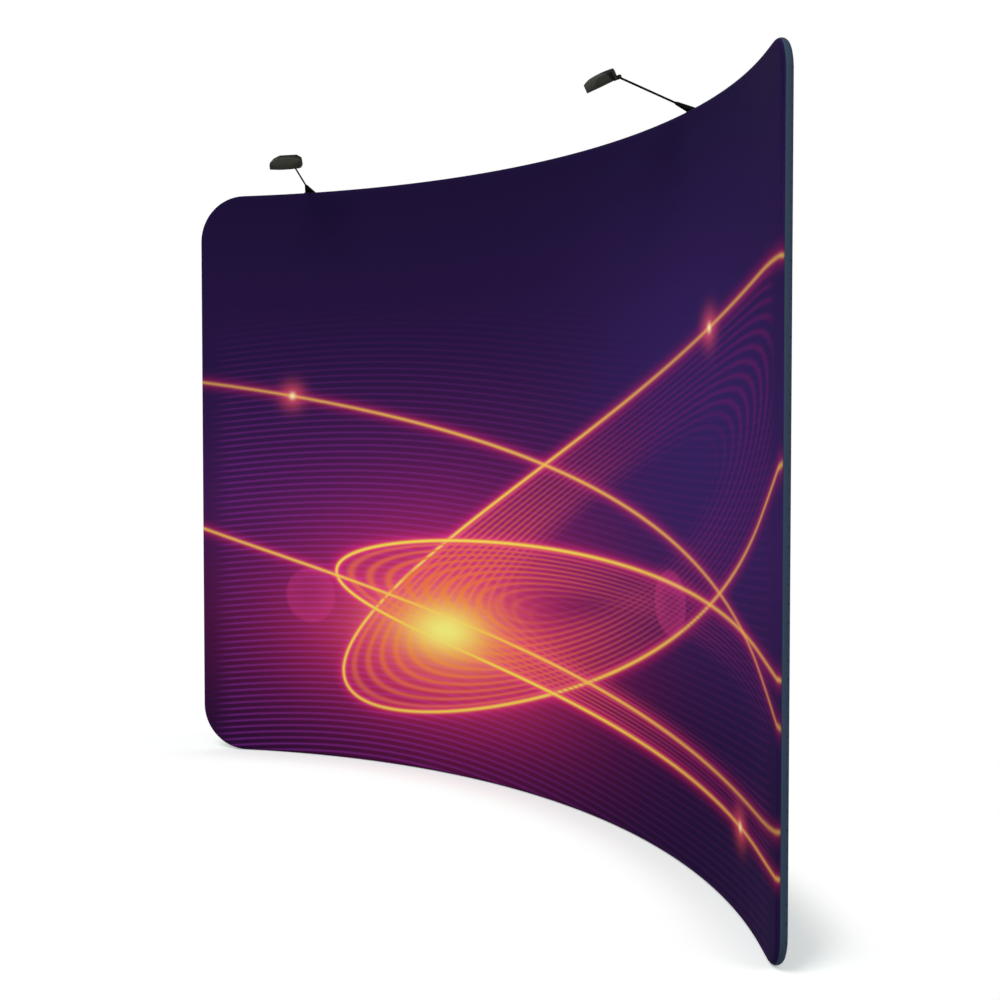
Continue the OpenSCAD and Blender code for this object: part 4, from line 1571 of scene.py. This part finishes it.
@dataclass(frozen=True)
class Lamp:
    """A soft square lamp: where it hangs and points, its side's length and its power in watts."""

    name: str
    place: Place
    target: Place
    size: float
    power: float

    def hang(self) -> None:
        """Hangs the lamp."""
        data = bpy.data.lights.new(self.name, "AREA")
        data.shape, data.size, data.energy = "SQUARE", self.size, self.power
        aimed(self.name, data, self.place, Vector(self.target) - Vector(self.place))


@dataclass
class Studio:
    """A pale floor, a white background, soft light and the camera of the photograph."""

    plan: WallPlan
    eye: Place = (3.423, -2.8287, 1.3433)
    yaw: float = -0.87
    pitch: float = -0.0308
    lens: float = 46.393
    sensor: float = 36.0
    sight: float = 200.0
    drop: float = -0.03235
    sky: float = 0.46
    floor_side: float = 120.0
    floor_z: float = -0.4 * MM
    floor_matt: Colour = (0.6, 0.6, 0.6)
    floor_pale: Colour = (0.955, 1.0, 0.985)
    floor_own: float = 0.24
    shadow_behind: tuple[float, float] = (0.09, 0.33)
    shadow_before: tuple[float, float] = (-0.04, -0.25)
    lamps: tuple[Lamp, ...] = (
        Lamp("key", (1.0, -5.0, 6.0), (0, 0, 1.1), 4.0, 330),
        Lamp("side", (6.0, 1.0, 3.0), (0.8, 0, 1.1), 3.0, 88),
    )

    def camera(self) -> None:
        """Sets the camera at the photograph's place."""
        data = bpy.data.cameras.new("camera")
        data.lens, data.sensor_width, data.shift_y = self.lens, self.sensor, self.drop
        data.clip_end = self.sight
        level = math.cos(self.pitch)
        ahead = Vector((math.sin(self.yaw) * level, math.cos(self.yaw) * level, math.sin(self.pitch)))
        bpy.context.scene.camera = aimed("camera", data, self.eye, ahead)

    def seen(self, graph: Graph) -> Socket:
        """1 where the camera looks, straight or by gloss or glass, and 0 for the light.

        Args:
            graph: The graph of the floor or the world.

        Returns:
            That share.
        """
        node = graph.add("ShaderNodeLightPath").end.node
        rays = ("Is Camera Ray", "Is Glossy Ray", "Is Transmission Ray")
        straight, glossy, through = (Socket(graph, node.outputs[name]) for name in rays)
        return graph.math("MAXIMUM", graph.math("MAXIMUM", straight, glossy), through)

    def world(self) -> None:
        """Makes a white world that the camera sees, and a softer one that gives the light."""
        world = bpy.data.worlds.new("white_room")
        bpy.context.scene.world = world
        graph = Graph(world)
        light, white = (
            graph.add("ShaderNodeBackground", inputs={"Color": (1.0, 1.0, 1.0), "Strength": strength})
            for strength in (self.sky, 1.0)
        )
        graph.end(graph.mixed(self.seen(graph), light, white), "World")

    def floor(self) -> None:
        """Lays the floor, white to the camera apart from the wall's soft shadow."""
        bpy.ops.object.select_all(action="DESELECT")
        bpy.ops.mesh.primitive_plane_add(size=self.floor_side, location=(0, 0, self.floor_z))
        floor = named_active("studio_floor")
        material = bpy.data.materials.new("floor_white")
        graph = Graph(material)
        matt, pale = (
            graph.add("ShaderNodeBsdfDiffuse", inputs={"Color": colour})
            for colour in (self.floor_matt, self.floor_pale)
        )
        own, white = (
            graph.add("ShaderNodeEmission", inputs={"Color": (1.0, 1.0, 1.0), "Strength": strength})
            for strength in (self.floor_own, 1.0)
        )
        lit = graph.add("ShaderNodeAddShader", inputs={0: pale, 1: own})
        back = graph.away(graph.object_place(), (0.0, self.plan.centre_y, 0.0)) - self.plan.rail_r
        clear = back.ease(*self.shadow_behind) + back.ease(*self.shadow_before)
        graph.end(graph.mixed(self.seen(graph), matt, graph.mixed(clear, lit, white)))
        floor.data.materials.append(material)

    def build(self) -> None:
        """Sets up the whole studio."""
        bpy.context.scene.view_settings.view_transform = "Standard"
        self.camera()
        self.world()
        self.floor()
        for lamp in self.lamps:
            lamp.hang()


def main() -> None:
    """Builds the backwall piece by piece."""
    logging.basicConfig(level=logging.INFO, format="%(message)s")
    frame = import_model()
    nodes = frame["nodes"]
    plan = WallPlan()
    from_end, from_joint = 288 * MM / plan.rail_r, 322 * MM / plan.rail_r
    left_turns = [math.radians(value) for value in (9, 29, 4)]
    right_turns = [math.radians(value) for value in (0, 28, -5)]
    left = Spotlight("left", plan, from_end - plan.end_angle, *left_turns)
    right = Spotlight("right", plan, plan.end_angle / 3 + from_joint, *right_turns)
    Studio(plan).build()
    TubeFrame().build(nodes)
    Cover(plan, (left.angle, right.angle)).build()
    Zip(plan).build(nodes)
    left.build(nodes)
    right.build(nodes)


if __name__ == "__main__":
    main()
